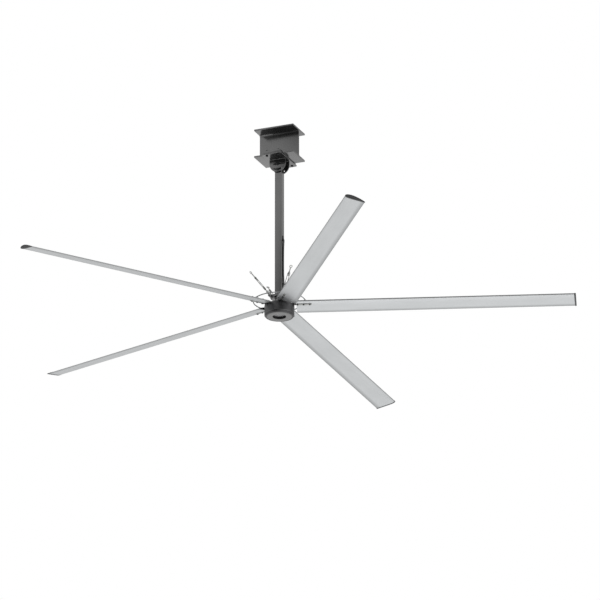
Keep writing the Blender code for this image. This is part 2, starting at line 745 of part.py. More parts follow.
def build_housing(finish, rotor):
    """The drum: a cup open at the bottom, with a bearing boss under its top."""
    seat = UPPER_BEARING["outer"]
    boss = seat + BEARING_WALL
    boss_end = UPPER_SEAT - UPPER_BEARING["width"]
    bead = DRUM_TOP - BEAD_DROP
    waist = DRUM_RADIUS - DRUM_BEAD
    rim = DRUM_BOTTOM + SEAT
    lip = seat - BEARING_LIP
    profile = [
        (lip, DRUM_TOP), (DRUM_RADIUS - DRUM_EDGE, DRUM_TOP), (DRUM_RADIUS, DRUM_TOP - DRUM_EDGE),
        (DRUM_RADIUS, bead), (waist, bead - DRUM_BEAD), (waist, rim + GROOVE_HEIGHT),
        (DRUM_RADIUS - GROOVE_DEPTH, rim + GROOVE_HEIGHT), (DRUM_RADIUS - GROOVE_DEPTH, rim),
        (CAVITY_RADIUS, rim), (CAVITY_RADIUS, CAVITY_TOP), (boss, CAVITY_TOP),
        (boss, boss_end), (seat, boss_end), (seat, UPPER_SEAT), (lip, UPPER_SEAT),
    ]
    add_object("rotor_housing", revolve_mesh(profile), finish, parent=rotor)


def build_cover(finish, rotor):
    """The dished cover under the drum, with the lower bearing's boss inside it."""
    seat = LOWER_BEARING["outer"]
    boss = seat + BEARING_WALL
    boss_end = LOWER_SEAT + LOWER_BEARING["width"]
    spigot = CAVITY_RADIUS - SEAT
    inside = DRUM_BOTTOM + SPIGOT_HEIGHT
    well = RECESS_RADIUS + RECESS_WALL
    profile = [
        (0, RECESS_TOP), (RECESS_RADIUS, RECESS_TOP), (RECESS_RADIUS, COVER_BOTTOM),
        (DRUM_RADIUS - COVER_CHAMFER, COVER_BOTTOM), (DRUM_RADIUS, DRUM_BOTTOM),
        (spigot, DRUM_BOTTOM), (spigot, inside), (well, inside),
        (well, LOWER_SEAT), (boss, LOWER_SEAT), (boss, boss_end), (seat, boss_end),
        (seat, LOWER_SEAT), (0, LOWER_SEAT),
    ]
    add_object("lower_cover", revolve_mesh(profile), finish, parent=rotor)


def build_magnets(finish, rotor):
    """The ring of magnets inside the drum's wall."""
    outer = CAVITY_RADIUS - SEAT
    low, high = STATOR_MIDDLE - MAGNET_HEIGHT / 2, STATOR_MIDDLE + MAGNET_HEIGHT / 2
    profile = [(MAGNET_INNER, low), (outer, low), (outer, high), (MAGNET_INNER, high)]
    add_object("magnet_ring", revolve_mesh(profile), finish, parent=rotor)


# Blades and their carrier


def camber_at(share):
    """Height of the section's middle line, two parabolas that meet at its highest point."""
    peak = CAMBER_SHARE
    if share < peak:
        return BLADE_CAMBER * (2 * peak * share - share * share) / peak ** 2
    rest = 1 - peak
    return BLADE_CAMBER * ((1 - 2 * peak) + 2 * peak * share - share * share) / rest ** 2


def half_thickness_at(share):
    """A round nose and a thin tail, from a polynomial of the distance behind the nose."""
    root, line, square, cube, fourth = POLYNOMIAL_SHARES
    shape = root * sqrt(share) + line * share + square * share ** 2
    shape += cube * share ** 3 + fourth * share ** 4
    return POLYNOMIAL_SCALE_SHARE * BLADE_THICKNESS * shape + TAIL_WALL / 2 * share


def across(share):
    """Distance behind the spar line, negative towards the leading edge."""
    return (share - SPAR_SHARE) * CHORD


def blade_outline(proud=0.0):
    """The section's outside, from the tail over the top to the nose and back below."""
    shares = [(1 - cos(pi * step / OUTLINE_STEPS)) / 2 for step in range(OUTLINE_STEPS + 1)]
    grow = 1 + 2 * proud / CHORD
    top = [(across(s), camber_at(s) + half_thickness_at(s) + proud) for s in reversed(shares)]
    low = [(across(s), camber_at(s) - half_thickness_at(s) - proud) for s in shares[1:]]
    return [(y * grow, z) for y, z in top + low]


def cell_outline(start, end, wall):
    """One hollow of the extrusion, a wall's thickness inside the outline."""
    shares = [start + (end - start) * step / CELL_STEPS for step in range(CELL_STEPS + 1)]
    top = [(across(s), camber_at(s) + half_thickness_at(s) - wall) for s in shares]
    low = [(across(s), camber_at(s) - half_thickness_at(s) + wall) for s in shares]
    return top + low[::-1]


def baked(made):
    """The piece's mesh with its cuts and welds applied, for copies that share it."""
    bpy.context.view_layer.update()
    shape = made.evaluated_get(bpy.context.evaluated_depsgraph_get())
    mesh = bpy.data.meshes.new_from_object(shape)
    mesh.name = made.name
    tools = [step.object for step in made.modifiers]
    for item in [made] + tools:
        bpy.data.objects.remove(item, do_unlink=True)
    return mesh


def add_copy(name, mesh, parent, rotation=(0, 0, 0)):
    made = bpy.data.objects.new(name, mesh)
    bpy.context.collection.objects.link(made)
    made.rotation_euler = rotation
    made.parent = parent
    return made


def blade_frames(rotor):
    """One frame a blade: X out along its spar, Y towards its tail, pitched nose up."""
    frames = []
    for index in range(BLADE_COUNT):
        turn = FIRST_BLADE_ANGLE + 2 * pi * index / BLADE_COUNT
        place = (-SPAR_Y * sin(turn), SPAR_Y * cos(turn), SPAR_Z)
        turned = (-BLADE_PITCH, 0, turn)
        frames.append(add_empty(f"blade_frame_{index + 1}", place, turned, rotor))
    return frames


def bolt_ways(radius, start, end):
    return prism_mesh([circle(radius, COARSE, (x, 0)) for x in BLADE_BOLTS], start, end)


def build_blades(finish, frames):
    """Hollow extrusions with three cells, drilled through for the arm's bolts."""
    tip = FAN_RADIUS - CAP_THICKNESS - SEAT
    cells = [cell_outline(start, end, BLADE_WALL) for start, end in CELL_SHARES]
    master = add_object("blade", prism_mesh([blade_outline()] + cells, BLADE_ROOT, tip), finish,
                        rotation=ALONG_X)
    ways = bolt_ways(BLADE_BOLT_RADIUS + SEAT, -BLADE_THICKNESS, BLADE_THICKNESS)
    mesh = baked(boolean(master, tool("blade_bolts", ways)))
    for index, frame in enumerate(frames):
        add_copy(f"blade_{index + 1}", mesh, frame, ALONG_X)


def build_caps(finish, frames):
    """End caps a little proud of the blade, with a plug that fits the spar cell."""
    tip = FAN_RADIUS
    joint = tip - CAP_THICKNESS
    start, end = CELL_SHARES[SPAR_CELL]
    inset = SEAT / CHORD * 2
    plug = cell_outline(start + inset, end - inset, BLADE_WALL + SEAT)
    master = add_object("cap", prism_mesh([blade_outline(CAP_PROUD)], joint, tip), finish,
                        rotation=ALONG_X)
    plug_mesh = prism_mesh([plug], joint - CAP_PLUG, joint + WELD)
    mesh = baked(boolean(master, tool("cap_plug", plug_mesh, rotation=ALONG_X), "UNION"))
    for index, frame in enumerate(frames):
        add_copy(f"blade_cap_{index + 1}", mesh, frame, ALONG_X)


def arm_section(reach, width, thickness, pitch, height):
    """A rectangle across the arm, turned about the arm's own line."""
    corners = rectangle(width, thickness)
    turn = Matrix.Rotation(pitch, 3, "X")
    return [turn @ Vector((0, y, z)) + Vector((reach, SPAR_Y, height)) for y, z in corners]


def arm_middle():
    return camber_at(SPAR_SHARE) * cos(BLADE_PITCH) + SPAR_Z


def build_carrier(finish, rotor):
    """A hub ring whose flat arms twist into the blades' pitch as they leave the drum."""
    pitched = (ARM_WIDTH, ARM_THICKNESS, -BLADE_PITCH, arm_middle())
    flat = (ARM_WIDTH, CARRIER_THICKNESS, 0, CARRIER_MIDDLE)
    stations = ((ARM_ROOT, flat), (ARM_FLAT_END, flat), (ARM_TWIST_END, pitched), (ARM_TIP, pitched))
    arm = add_object("arm", loft_mesh([arm_section(reach, *shape) for reach, shape in stations]))
    ways = bolt_ways(BLADE_BOLT_RADIUS + SEAT, -BLADE_THICKNESS, BLADE_THICKNESS)
    pitched_place = {"location": (0, SPAR_Y, SPAR_Z), "rotation": (-BLADE_PITCH, 0, 0)}
    boolean(arm, tool("arm_bolts", ways, **pitched_place))
    head_end = CARRIER_BOTTOM + CARRIER_THICKNESS + CARRIER_BOLT_RADIUS
    head = [hexagon(CARRIER_BOLT_RADIUS, (CARRIER_BOLT_REACH, SPAR_Y))]
    head_mesh = prism_mesh(head, CARRIER_MIDDLE, head_end)
    mesh = baked(boolean(arm, tool("arm_head", head_mesh), "UNION"))
    ring = [circle(CARRIER_RADIUS, FINE), circle(CARRIER_BORE, FINE)]
    ring_mesh_flat = prism_mesh(ring, CARRIER_BOTTOM, CARRIER_BOTTOM + CARRIER_THICKNESS)
    carrier = add_object("blade_carrier", ring_mesh_flat, finish, parent=rotor)
    for index in range(BLADE_COUNT):
        turn = FIRST_BLADE_ANGLE + 2 * pi * index / BLADE_COUNT
        copy = add_copy(f"arm_{index}_tool", mesh, rotor, (0, 0, turn))
        boolean(carrier, copy, "UNION")


def strip_face(side):
    """Where a flat strip first meets the blade's upper or lower surface."""
    reach = STRIP_WIDTH / 2 / CHORD
    shares = [SPAR_SHARE + reach * step for step in (-1, -0.5, 0, 0.5, 1)]
    return side * max(side * camber_at(s) + half_thickness_at(s) for s in shares)


def build_lower_strips(finish, frames):
    """A plate below each blade whose three bolts go up through blade and arm."""
    top = strip_face(-1) - SEAT
    bottom = top - STRIP_THICKNESS
    strip = rectangle(STRIP_END - STRIP_START, STRIP_WIDTH, STRIP_THICKNESS, 2, (STRIP_MIDDLE, 0))
    master = add_object("lower_strip", prism_mesh([strip], bottom, top), finish)
    end = strip_face(1) + SEAT + STRIP_THICKNESS + BLADE_HEAD + BOLT_STAND
    for index, reach in enumerate(BLADE_BOLTS):
        bolt = bolt_mesh(BLADE_BOLT_RADIUS, bottom + WELD, end, 0.0, nut=False)
        boolean(master, tool(f"strip_bolt_{index}", bolt, location=(reach, 0, 0)), "UNION")
    mesh = baked(master)
    for index, frame in enumerate(frames):
        add_copy(f"bolt_strip_{index + 1}", mesh, frame)


def build_upper_strips(finish, frames):
    """A plate above each blade with its three nuts and the safety ring's saddle."""
    base = strip_face(1) + SEAT
    top = base + STRIP_THICKNESS
    strip = rectangle(STRIP_END - STRIP_START, STRIP_WIDTH, STRIP_THICKNESS, 2, (STRIP_MIDDLE, 0))
    master = add_object("upper_strip", prism_mesh([strip], base, top), finish)
    nut_top = top + BLADE_HEAD
    for index, reach in enumerate(BLADE_BOLTS):
        nut = prism_mesh([hexagon(BLADE_BOLT_RADIUS, (reach, 0))], top - WELD, nut_top)
        boolean(master, tool(f"strip_nut_{index}", nut), "UNION")
    side = SADDLE_WIDTH / 2 * sin(BLADE_PITCH)
    saddle_top = (RING_HEIGHT - RING_WIRE - SEAT - SPAR_Z - side) / cos(BLADE_PITCH)
    crossing = sqrt(RING_RADIUS ** 2 - SPAR_Y ** 2)
    saddle = rectangle(SADDLE_LENGTH, SADDLE_WIDTH, centre=(crossing, 0))
    saddle_mesh = prism_mesh([saddle], top - WELD, saddle_top)
    boolean(master, tool("saddle", saddle_mesh), "UNION")
    ways = bolt_ways(BLADE_BOLT_RADIUS + SEAT, base - OVERRUN, nut_top + OVERRUN)
    mesh = baked(boolean(master, tool("strip_ways", ways)))
    for index, frame in enumerate(frames):
        add_copy(f"nut_strip_{index + 1}", mesh, frame)


def build_ring(finish, rotor):
    """The wire rope ring that links the blades, lying on their saddles."""
    mesh = ring_mesh(RING_RADIUS, RING_WIRE, RING_STEPS, FEW)
    add_object("safety_ring", mesh, finish, location=(0, 0, RING_HEIGHT), parent=rotor)


# Turnbuckles, each along X of its own frame with its pin along Y


def turnbuckle_frames(hub):
    frames = []
    for index, angle in enumerate(TURNBUCKLE_ANGLES):
        place = (LUG_REACH * cos(angle), LUG_REACH * sin(angle), LUG_HOLE_Z)
        turned = (0, -TURNBUCKLE_TILT, angle)
        frames.append(add_empty(f"turnbuckle_frame_{index + 1}", place, turned, hub))
    return frames


def build_jaws(finish, frames):
    """A forked end that straddles the lug, with its pin and its screw."""
    half = JAW_WIDTH / 2
    gap = LUG_THICKNESS / 2 + RUNNING
    wide = gap + JAW_CHEEK
    back = JAW_DEPTH + JAW_BRIDGE
    fork = arc(half, pi / 2, 3 * pi / 2, 8) + [(back, -half), (back, half)]
    master = add_object("jaw", prism_mesh([fork], -wide, wide), finish, rotation=ALONG_Y)
    slot = rectangle(JAW_DEPTH + half + OVERRUN, 2 * gap, centre=((JAW_DEPTH - half - OVERRUN) / 2, 0))
    boolean(master, tool("jaw_slot", prism_mesh([slot], -half - OVERRUN, half + OVERRUN)))
    pin = prism_mesh([circle(JAW_PIN_RADIUS, COARSE)], -wide - WELD, wide + WELD)
    boolean(master, tool("jaw_pin", pin, rotation=ALONG_Y), "UNION")
    screw_end = BODY_START + SCREW_REACH + BOSS_LENGTH / 2
    screw = prism_mesh([circle(SCREW_RADIUS, COARSE)], back - WELD, screw_end)
    boolean(master, tool("jaw_screw", screw, rotation=ALONG_X), "UNION")
    mesh = baked(master)
    for index, frame in enumerate(frames):
        add_copy(f"turnbuckle_jaw_{index + 1}", mesh, frame, ALONG_Y)


def build_bodies(finish, frames):
    """Two threaded bosses joined by a pair of side rods."""
    end = BODY_START + BODY_LENGTH
    ring = [circle(BOSS_RADIUS, COARSE), circle(SCREW_RADIUS + RUNNING, COARSE)]
    near = prism_mesh(ring, BODY_START, BODY_START + BOSS_LENGTH)
    master = add_object("body", near, finish, rotation=ALONG_X)
    far = prism_mesh(ring, end - BOSS_LENGTH, end)
    boolean(master, tool("far_boss", far, rotation=ALONG_X), "UNION")
    inside = BOSS_LENGTH / 2
    for side, name in ((-1, "left_rod"), (1, "right_rod")):
        rod = [circle(SIDE_ROD_RADIUS, FEW, (side * SIDE_ROD_SPACING / 2, 0))]
        rod_mesh = prism_mesh(rod, BODY_START + inside, end - inside)
        boolean(master, tool(name, rod_mesh, rotation=ALONG_X), "UNION")
    mesh = baked(master)
    for index, frame in enumerate(frames):
        add_copy(f"turnbuckle_body_{index + 1}", mesh, frame, ALONG_X)


def build_eyes(finish, frames):
    """The outer screw with the eye where a guy wire would be tied."""
    loop = ring_mesh(EYE_RADIUS, EYE_WIRE, EYE_STEPS, FEW)
    master = add_object("eye", loop, finish, location=(EYE_DISTANCE, 0, 0))
    start = BODY_START + BODY_LENGTH - SCREW_REACH - BOSS_LENGTH / 2
    screw = prism_mesh([circle(SCREW_RADIUS, COARSE)], start, EYE_DISTANCE - EYE_RADIUS)
    boolean(master, tool("eye_screw", screw, rotation=ALONG_X), "UNION")
    mesh = baked(master)
    for index, frame in enumerate(frames):
        eye = add_copy(f"turnbuckle_eye_{index + 1}", mesh, frame)
        eye.location = (EYE_DISTANCE, 0, 0)


def build_fan():
    clear_scene()
    finish = make_materials()
    hanger = add_empty("hanger_axis", (0, 0, PIVOT_Z))
    hub = add_empty("hub_centre", (0, 0, HUB_IN_HANGER), parent=hanger)
    rotor = add_empty("rotor_axis", (0, 0, 0), parent=hub)
    build_beam(finish["painted_steel"])
    build_bracket(finish["painted_steel"])
    build_clamps(finish["painted_steel"], finish["black_steel"])
    build_pivot_bolts(finish["black_steel"], hanger)
    build_downrod(finish["painted_steel"], hub, hanger)
    build_grommets(finish["rubber"], hub)
    build_cable(finish["cable_jacket"], hub)
    build_shaft(finish["cast_housing"], hub)
    build_stator(finish["core_steel"], finish["copper_winding"], hub)
    build_bearings(finish["bearing_steel"], rotor)
    build_housing(finish["cast_housing"], rotor)
    build_cover(finish["cast_housing"], rotor)
    build_magnets(finish["core_steel"], rotor)
    build_carrier(finish["black_steel"], rotor)
    frames = blade_frames(rotor)
    build_blades(finish["blade_aluminium"], frames)
    build_caps(finish["dark_plastic"], frames)
    build_lower_strips(finish["black_steel"], frames)
    build_upper_strips(finish["black_steel"], frames)
    build_ring(finish["wire_rope"], rotor)
    guys = turnbuckle_frames(hub)
    build_jaws(finish["zinc_steel"], guys)
    build_bodies(finish["zinc_steel"], guys)
    build_eyes(finish["zinc_steel"], guys)


build_fan()
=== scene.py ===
from math import acos, asin, cos, pi, radians, sin, sqrt

import bmesh
import bpy
import numpy as np
from mathutils import Matrix, Vector
from mathutils.geometry import tessellate_polygon


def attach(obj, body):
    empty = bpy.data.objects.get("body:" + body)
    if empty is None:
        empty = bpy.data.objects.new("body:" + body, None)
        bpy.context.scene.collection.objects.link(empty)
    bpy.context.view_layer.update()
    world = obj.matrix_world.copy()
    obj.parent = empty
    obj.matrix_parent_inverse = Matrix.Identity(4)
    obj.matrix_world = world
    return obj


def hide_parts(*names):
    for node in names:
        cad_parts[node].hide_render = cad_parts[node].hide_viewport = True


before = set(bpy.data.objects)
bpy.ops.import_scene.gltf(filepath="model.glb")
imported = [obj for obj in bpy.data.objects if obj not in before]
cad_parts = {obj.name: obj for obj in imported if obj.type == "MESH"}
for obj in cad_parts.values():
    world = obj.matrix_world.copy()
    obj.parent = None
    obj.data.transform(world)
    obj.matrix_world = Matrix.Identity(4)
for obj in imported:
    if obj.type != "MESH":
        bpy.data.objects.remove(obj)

bl_info = {
    "name": "High volume low speed fan",
    "version": (1, 0, 0),
    "blender": (4, 5, 0),
    "location": "View3D > Sidebar > Fan",
    "description": "Dresses the packed solids of a large ceiling fan in detailed pieces and finishes",
    "category": "Object",
}

# All lengths are in metres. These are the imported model's own sizes, but for the drum's groove and bead and
# the skirt of the blades' caps, which are drawn larger to show.

SEAT = 0.0003
BEAM_LENGTH, BEAM_HEIGHT, BEAM_WIDTH = 0.350, 0.250, 0.250
BEAM_FLANGE, BEAM_WEB, BEAM_FILLET = 0.014, 0.009, 0.016
BRACKET_LENGTH, BRACKET_WIDTH, BRACKET_THICKNESS = 0.170, 0.340, 0.010
EAR_RADIUS, EAR_THICKNESS, EAR_SPACING, PIVOT_DROP = 0.072, 0.008, 0.076, 0.038
SLOT_RADIUS, SLOT_SWING = 0.052, radians(30)
CLAMP_LENGTH, CLAMP_DEPTH, CLAMP_THICKNESS = 0.150, 0.062, 0.010
CLAMP_BOLT_X, CLAMP_BOLT_Y, CLAMP_BOLT_RADIUS = 0.052, 0.14345, 0.006
PIVOT_BOLT_RADIUS, LOCK_BOLT_RADIUS = 0.008, 0.006
CLAMP_BOLT_BEYOND, CROSS_BOLT_BEYOND, BOLT_CLEARANCE = 0.006, 0.005, 0.0005
HUB_DROP, WELD_STEP = 1.250, 0.0008
TUBE_SIDE, TUBE_WALL, TUBE_CORNER, TUBE_ABOVE_PIVOT = 0.060, 0.0035, 0.004, 0.019
BASE_SIDE, BASE_BOTTOM, BASE_THICKNESS = 0.146, 0.0763, 0.008
LUG_REACH, LUG_THICKNESS, LUG_HOLE_RADIUS, LUG_RIM, LUG_ROOT = 0.0895, 0.007, 0.0046, 0.0055, 0.030
STUD_CIRCLE, STUD_RADIUS, STUD_WASHER, STUD_BEYOND = 0.052, 0.005, 0.0011, 0.005
DRUM_RADIUS, DRUM_TOP, DRUM_BOTTOM = 0.124, 0.003, -0.083
DRUM_WALL, DRUM_TOP_WALL, BEAD_Z = 0.010, 0.015, -0.073
BEARING_WALL, BEARING_LIP, SHAFT_SEAT, WELL_OUTSIDE = 0.008, 0.005, 0.0297, 0.061
UPPER_BEARING, UPPER_BEARING_WIDTH, LOWER_BEARING, LOWER_BEARING_WIDTH = 0.045, 0.016, 0.036, 0.012
UPPER_SEAT = DRUM_TOP - BEARING_LIP
UPPER_SEAT_END = UPPER_SEAT - UPPER_BEARING_WIDTH
GROOVE_DEPTH, GROOVE_HEIGHT = 0.006, 0.0045
BEAD_DEPTH, BEAD_HEIGHT = 0.004, 0.007
COVER_HEIGHT, COVER_CHAMFER, RECESS_RADIUS, RECESS_DEPTH = 0.011, 0.010, 0.055, 0.022
COVER_PLATE = 0.0045
FACE_INNER, FACE_OUTER, FACE_THICKNESS = 0.0565, 0.1030, 0.0015
DISC_RADIUS, DISC_THICKNESS, FACE_SCREW_REACH = 0.0515, 0.0012, 0.0955
SHAFT_BORE, SHAFT_NECK, SHAFT_RADIUS, SHAFT_END, SHAFT_STEP = 0.013, 0.037, 0.0285, 0.0197, 0.0125
FLANGE_RADIUS, FLANGE_BOTTOM, FLANGE_TOP = 0.074, 0.066, 0.076
CARRIER_THICKNESS, CARRIER_RADIUS, CARRIER_BORE = 0.008, 0.106, 0.046
ARM_WIDTH, ARM_THICKNESS, ARM_ROOT, ARM_TIP = 0.042, 0.013, 0.088, 0.280
ARM_FLAT_END, ARM_TWIST_END = 0.127, 0.138
CARRIER_BOLT_REACH, CARRIER_BOLT_RADIUS = 0.108, 0.006
BLADES, FIRST_BLADE, BLADE_PITCH, FAN_RADIUS = 5, radians(19), radians(15), 2.440
CHORD, BLADE_THICKNESS, BLADE_CAMBER, CAMBER_SHARE = 0.168, 0.028, 0.0055, 0.45
BLADE_ROOT, BLADE_WALL, TAIL_WALL, RADIAL_SHARE, SPAR_SHARE = 0.140, 0.0022, 0.0016, 0.36, 0.24
# The nose and tail bands and the edge tone darken the blades' colour near both edges: painted shade for the
# darker reflection on the rounded nose and tail
NOSE_SHADE_BAND, TAIL_SHADE_BAND, EDGE_SHADE_TONE, BLADE_STEPS = 0.007, 0.036, 0.55, 48
CELLS = ((0.03, 0.085), (0.10, 0.42), (0.435, 0.86))
CAP_THICKNESS, CAP_PROUD, CAP_SKIRT, CAP_SCREWS = 0.006, 0.0012, 0.007, (0.22, 0.62)
CAP_SETBACK, CAP_RIM, CAP_PLUG = 0.0014, 0.0026, 0.010
BLADE_BOLTS, BLADE_BOLT_RADIUS = (0.151, 0.201, 0.252), 0.004
STRIP_START, STRIP_END, STRIP_WIDTH, STRIP_THICKNESS = 0.1415, 0.267, 0.018, 0.003
RING_RADIUS, RING_WIRE, RING_Z = 0.214, 0.0045, 0.040
SADDLE_LENGTH, SADDLE_WIDTH = 0.014, 0.010
CLIP_GAP, CLIP_THICKNESS, CLIP_FOOT, CLIP_WIDTH = 0.0004, 0.0016, -0.011, 0.008
HEAD_FLAT, HEAD_HEIGHT, NUT_HEIGHT = 1.53, 1.25, 1.15
WASHER_HOLE, WASHER_RIM, WASHER_SHARE = 1.02, 1.72, 0.22
FINE_PITCH, FINE_DEPTH, THREAD_SIDES, HEXAGON_SIDES = 0.0014, 0.00045, 24, 48
TURNBUCKLE_TILT = radians(45)
PLAY, PIN_BEYOND, SPLIT_RING_WIRE = 0.0005, 0.0028, 0.0006
FORK_NECK_RADIUS, FORK_NECK, EYE_NECK, BOSS_CLEARANCE = 0.0085, 0.010, 0.0125, 0.0004
SHARP_ANGLE = radians(35)
BODY_START, BODY_LENGTH, BOSS_LENGTH, BOSS_RADIUS = 0.047, 0.135, 0.022, 0.008
SIDE_ROD_RADIUS, SIDE_ROD_SPACING, SCREW_RADIUS, SCREW_REACH = 0.0026, 0.0178, 0.0048, 0.026
EYE_DISTANCE, EYE_RADIUS, EYE_WIRE = 0.231, 0.0105, 0.0033
JAW_CHEEK, JAW_WIDTH, JAW_DEPTH, JAW_BRIDGE, JAW_PIN_RADIUS = 0.004, 0.018, 0.024, 0.006, 0.004
CABLE_RADIUS, CABLE_OUT, CABLE_IN, CABLE_ACROSS = 0.0052, 0.174, 0.596, 0.003
CABLE_LOW_END, CABLE_HIGH_END = 0.035, 1.140
CABLE_BEND, CABLE_RISE, CABLE_GLIDE, CABLE_STEPS = 0.047, 0.0245, 0.070, 5
CABLE_GAP, CABLE_POINT_STEP = 0.0005, 0.004
GROMMET_WIDTH, GROMMET_HEIGHT, GROMMET_LIP, GROMMET_WEB = 0.024, 0.048, 0.002, 0.0008
CABLE_HOLE_WIDTH, CABLE_HOLE_HEIGHT = 0.014, 0.038

BRACKET_BOTTOM = -BEAM_HEIGHT - SEAT - BRACKET_THICKNESS
PIVOT_Z = BRACKET_BOTTOM - PIVOT_DROP
HUB_Z = PIVOT_Z - HUB_DROP
BASE_TOP = BASE_BOTTOM + BASE_THICKNESS
LUG_HOLE_Z = BASE_TOP + LUG_HOLE_RADIUS + LUG_RIM
SPAR_Z = (0.5 - SPAR_SHARE) * CHORD * sin(BLADE_PITCH)
SPAR_Y = (SPAR_SHARE - RADIAL_SHARE) * CHORD * cos(BLADE_PITCH)
RING_CROSSING = sqrt(RING_RADIUS ** 2 - SPAR_Y ** 2)
COVER_BOTTOM = DRUM_BOTTOM - COVER_HEIGHT
RECESS_TOP = COVER_BOTTOM + RECESS_DEPTH
CARRIER_BOTTOM = DRUM_TOP + SEAT


# Arithmetic of places


def shift(x=0.0, y=0.0, z=0.0):
    """The matrix of a move."""
    moved = np.eye(4)
    moved[:3, 3] = (x, y, z)
    return moved


def turn(axis, angle):
    """The matrix of a turn about X, Y or Z."""
    return np.array(Matrix.Rotation(angle, 4, axis))


ALONG_X = turn("Z", pi / 2) @ turn("X", pi / 2)
ALONG_Y = turn("X", pi / 2)
HANGER = shift(z=PIVOT_Z)
HUB = shift(z=HUB_Z)


def arm_place(index):
    """X out along the spar's line, which passes beside the axis, and level."""
    return HUB @ turn("Z", FIRST_BLADE + 2 * pi * index / BLADES) @ shift(y=SPAR_Y)


def blade_place(index):
    """X out along a blade's spar, Y towards its tail, pitched nose up."""
    return arm_place(index) @ shift(z=SPAR_Z) @ turn("X", -BLADE_PITCH)


def lug_place(index):
    """The middle of a lug's hole, above the hub, with X outwards."""
    return turn("Z", radians(45 + 90 * index)) @ shift(LUG_REACH, 0, LUG_HOLE_Z)


def turnbuckle_place(index):
    """X up and out along the guy, Y along the fork's pin."""
    return HUB @ lug_place(index) @ turn("Y", -TURNBUCKLE_TILT)


# Surfaces. A part has points, faces of four and three sides, and each point's place in its own frame


def part(points, quads=(), tris=()):
    """A part's arrays, made in its own frame."""
    points = np.asarray(points, float).reshape(-1, 3)
    quads = np.asarray(quads, int).reshape(-1, 4)
    tris = np.asarray(tris, int).reshape(-1, 3)
    return {"points": points, "quads": quads, "tris": tris, "local": points.copy()}


def joined(parts):
    """Several parts as one, each one's face numbers moved up by the points before it."""
    starts = np.cumsum([0] + [len(p["points"]) for p in parts[:-1]])
    whole = {key: np.concatenate([p[key] for p in parts]) for key in ("points", "local")}
    for key in ("quads", "tris"):
        whole[key] = np.concatenate([p[key] + start for p, start in zip(parts, starts)])
    return whole


def placed(shape, place, keep_local=True):
    """Every point times the place's matrix. The part's own frame stays with it for its grain."""
    moved = dict(shape)
    moved["points"] = shape["points"] @ place[:3, :3].T + place[:3, 3]
    if not keep_local:
        moved["local"] = moved["points"]
    return moved


def grid_faces(rows, columns, close_rows=False, close_columns=True):
    """Four-sided faces between the points of a grid counted row by row."""
    numbers = np.arange(rows * columns).reshape(rows, columns)
    if close_rows:
        numbers = np.vstack([numbers, numbers[:1]])
    if close_columns:
        numbers = np.hstack([numbers, numbers[:, :1]])
    near, far = numbers[:-1], numbers[1:]
    return np.stack([near[:, :-1], near[:, 1:], far[:, 1:], far[:, :-1]], axis=-1).reshape(-1, 4)


def skinned(rows, ring=False, ends=True):
    """Closed outlines in a row, joined corner to corner, with a fan to the middle at both ends."""
    rows = np.asarray(rows, float)
    count, corners = rows.shape[:2]
    quads = grid_faces(count, corners, close_rows=ring)
    if ring or not ends:
        return part(rows, quads)
    middles = np.stack([rows[0].mean(axis=0), rows[-1].mean(axis=0)])
    first = np.arange(corners)
    after = np.roll(first, -1)
    last = first + (count - 1) * corners
    near = np.stack([after, first, np.full(corners, count * corners)], axis=-1)
    far = np.stack([last, np.roll(last, -1), np.full(corners, count * corners + 1)], axis=-1)
    return part(np.vstack([rows.reshape(-1, 3), middles]), quads, np.vstack([near, far]))


def circle(radius, steps, centre=(0.0, 0.0)):
    """Radius times the cosine and sine of even angles."""
    return arc(radius, 0, 2 * pi, steps, centre)[:-1]


def arc(radius, start, end, steps, centre=(0.0, 0.0)):
    """The same from a first angle to a last one, both included."""
    angles = np.linspace(start, end, steps + 1)
    return np.stack([np.cos(angles), np.sin(angles)], axis=-1) * radius + centre


def softened(corners, radius, steps=4, closed=True):
    """Each corner becomes a quadratic curve between points a radius back along its two sides."""
    corners = np.asarray(corners, float)
    reach = np.broadcast_to(np.asarray(radius, float), (len(corners),))
    before = np.roll(corners, 1, axis=0) - corners
    after = np.roll(corners, -1, axis=0) - corners
    long_before = np.linalg.norm(before, axis=1)
    long_after = np.linalg.norm(after, axis=1)
    reach = np.minimum(reach, 0.49 * np.minimum(long_before, long_after))
    if not closed:
        reach[0] = reach[-1] = 0
    start = corners + before / long_before[:, None] * reach[:, None]
    end = corners + after / long_after[:, None] * reach[:, None]
    share = np.linspace(0, 1, steps + 1)[None, :, None]
    curve = (1 - share) ** 2 * start[:, None] + 2 * share * (1 - share) * corners[:, None]
    curve = curve + share ** 2 * end[:, None]
    keep = np.ones(curve.shape[:2], bool)
    keep[reach == 0, 1:] = False
    return curve[keep]


def rectangle(width, height, corner, steps=5, centre=(0.0, 0.0)):
    """A rectangle whose corners are quarter circles, anticlockwise."""
    quarters = []
    for step, (sx, sy) in enumerate(((1, 1), (-1, 1), (-1, -1), (1, -1))):
        middle = (centre[0] + sx * (width / 2 - corner), centre[1] + sy * (height / 2 - corner))
        quarters.append(arc(corner, step * pi / 2, (step + 1) * pi / 2, steps, middle))
    return np.vstack(quarters)


def inset(outline, distance):
    """Each corner moved inwards so that both its sides move in by the same distance."""
    before = outline - np.roll(outline, 1, axis=0)
    after = np.roll(outline, -1, axis=0) - outline
    normals = []
    for side in (before, after):
        long = np.maximum(np.linalg.norm(side, axis=1), 1e-9)[:, None]
        normals.append(np.stack([-side[:, 1], side[:, 0]], axis=-1) / long)
    spread = np.maximum(1 + (normals[0] * normals[1]).sum(axis=1), 0.4)[:, None]
    return outline + (normals[0] + normals[1]) / spread * distance


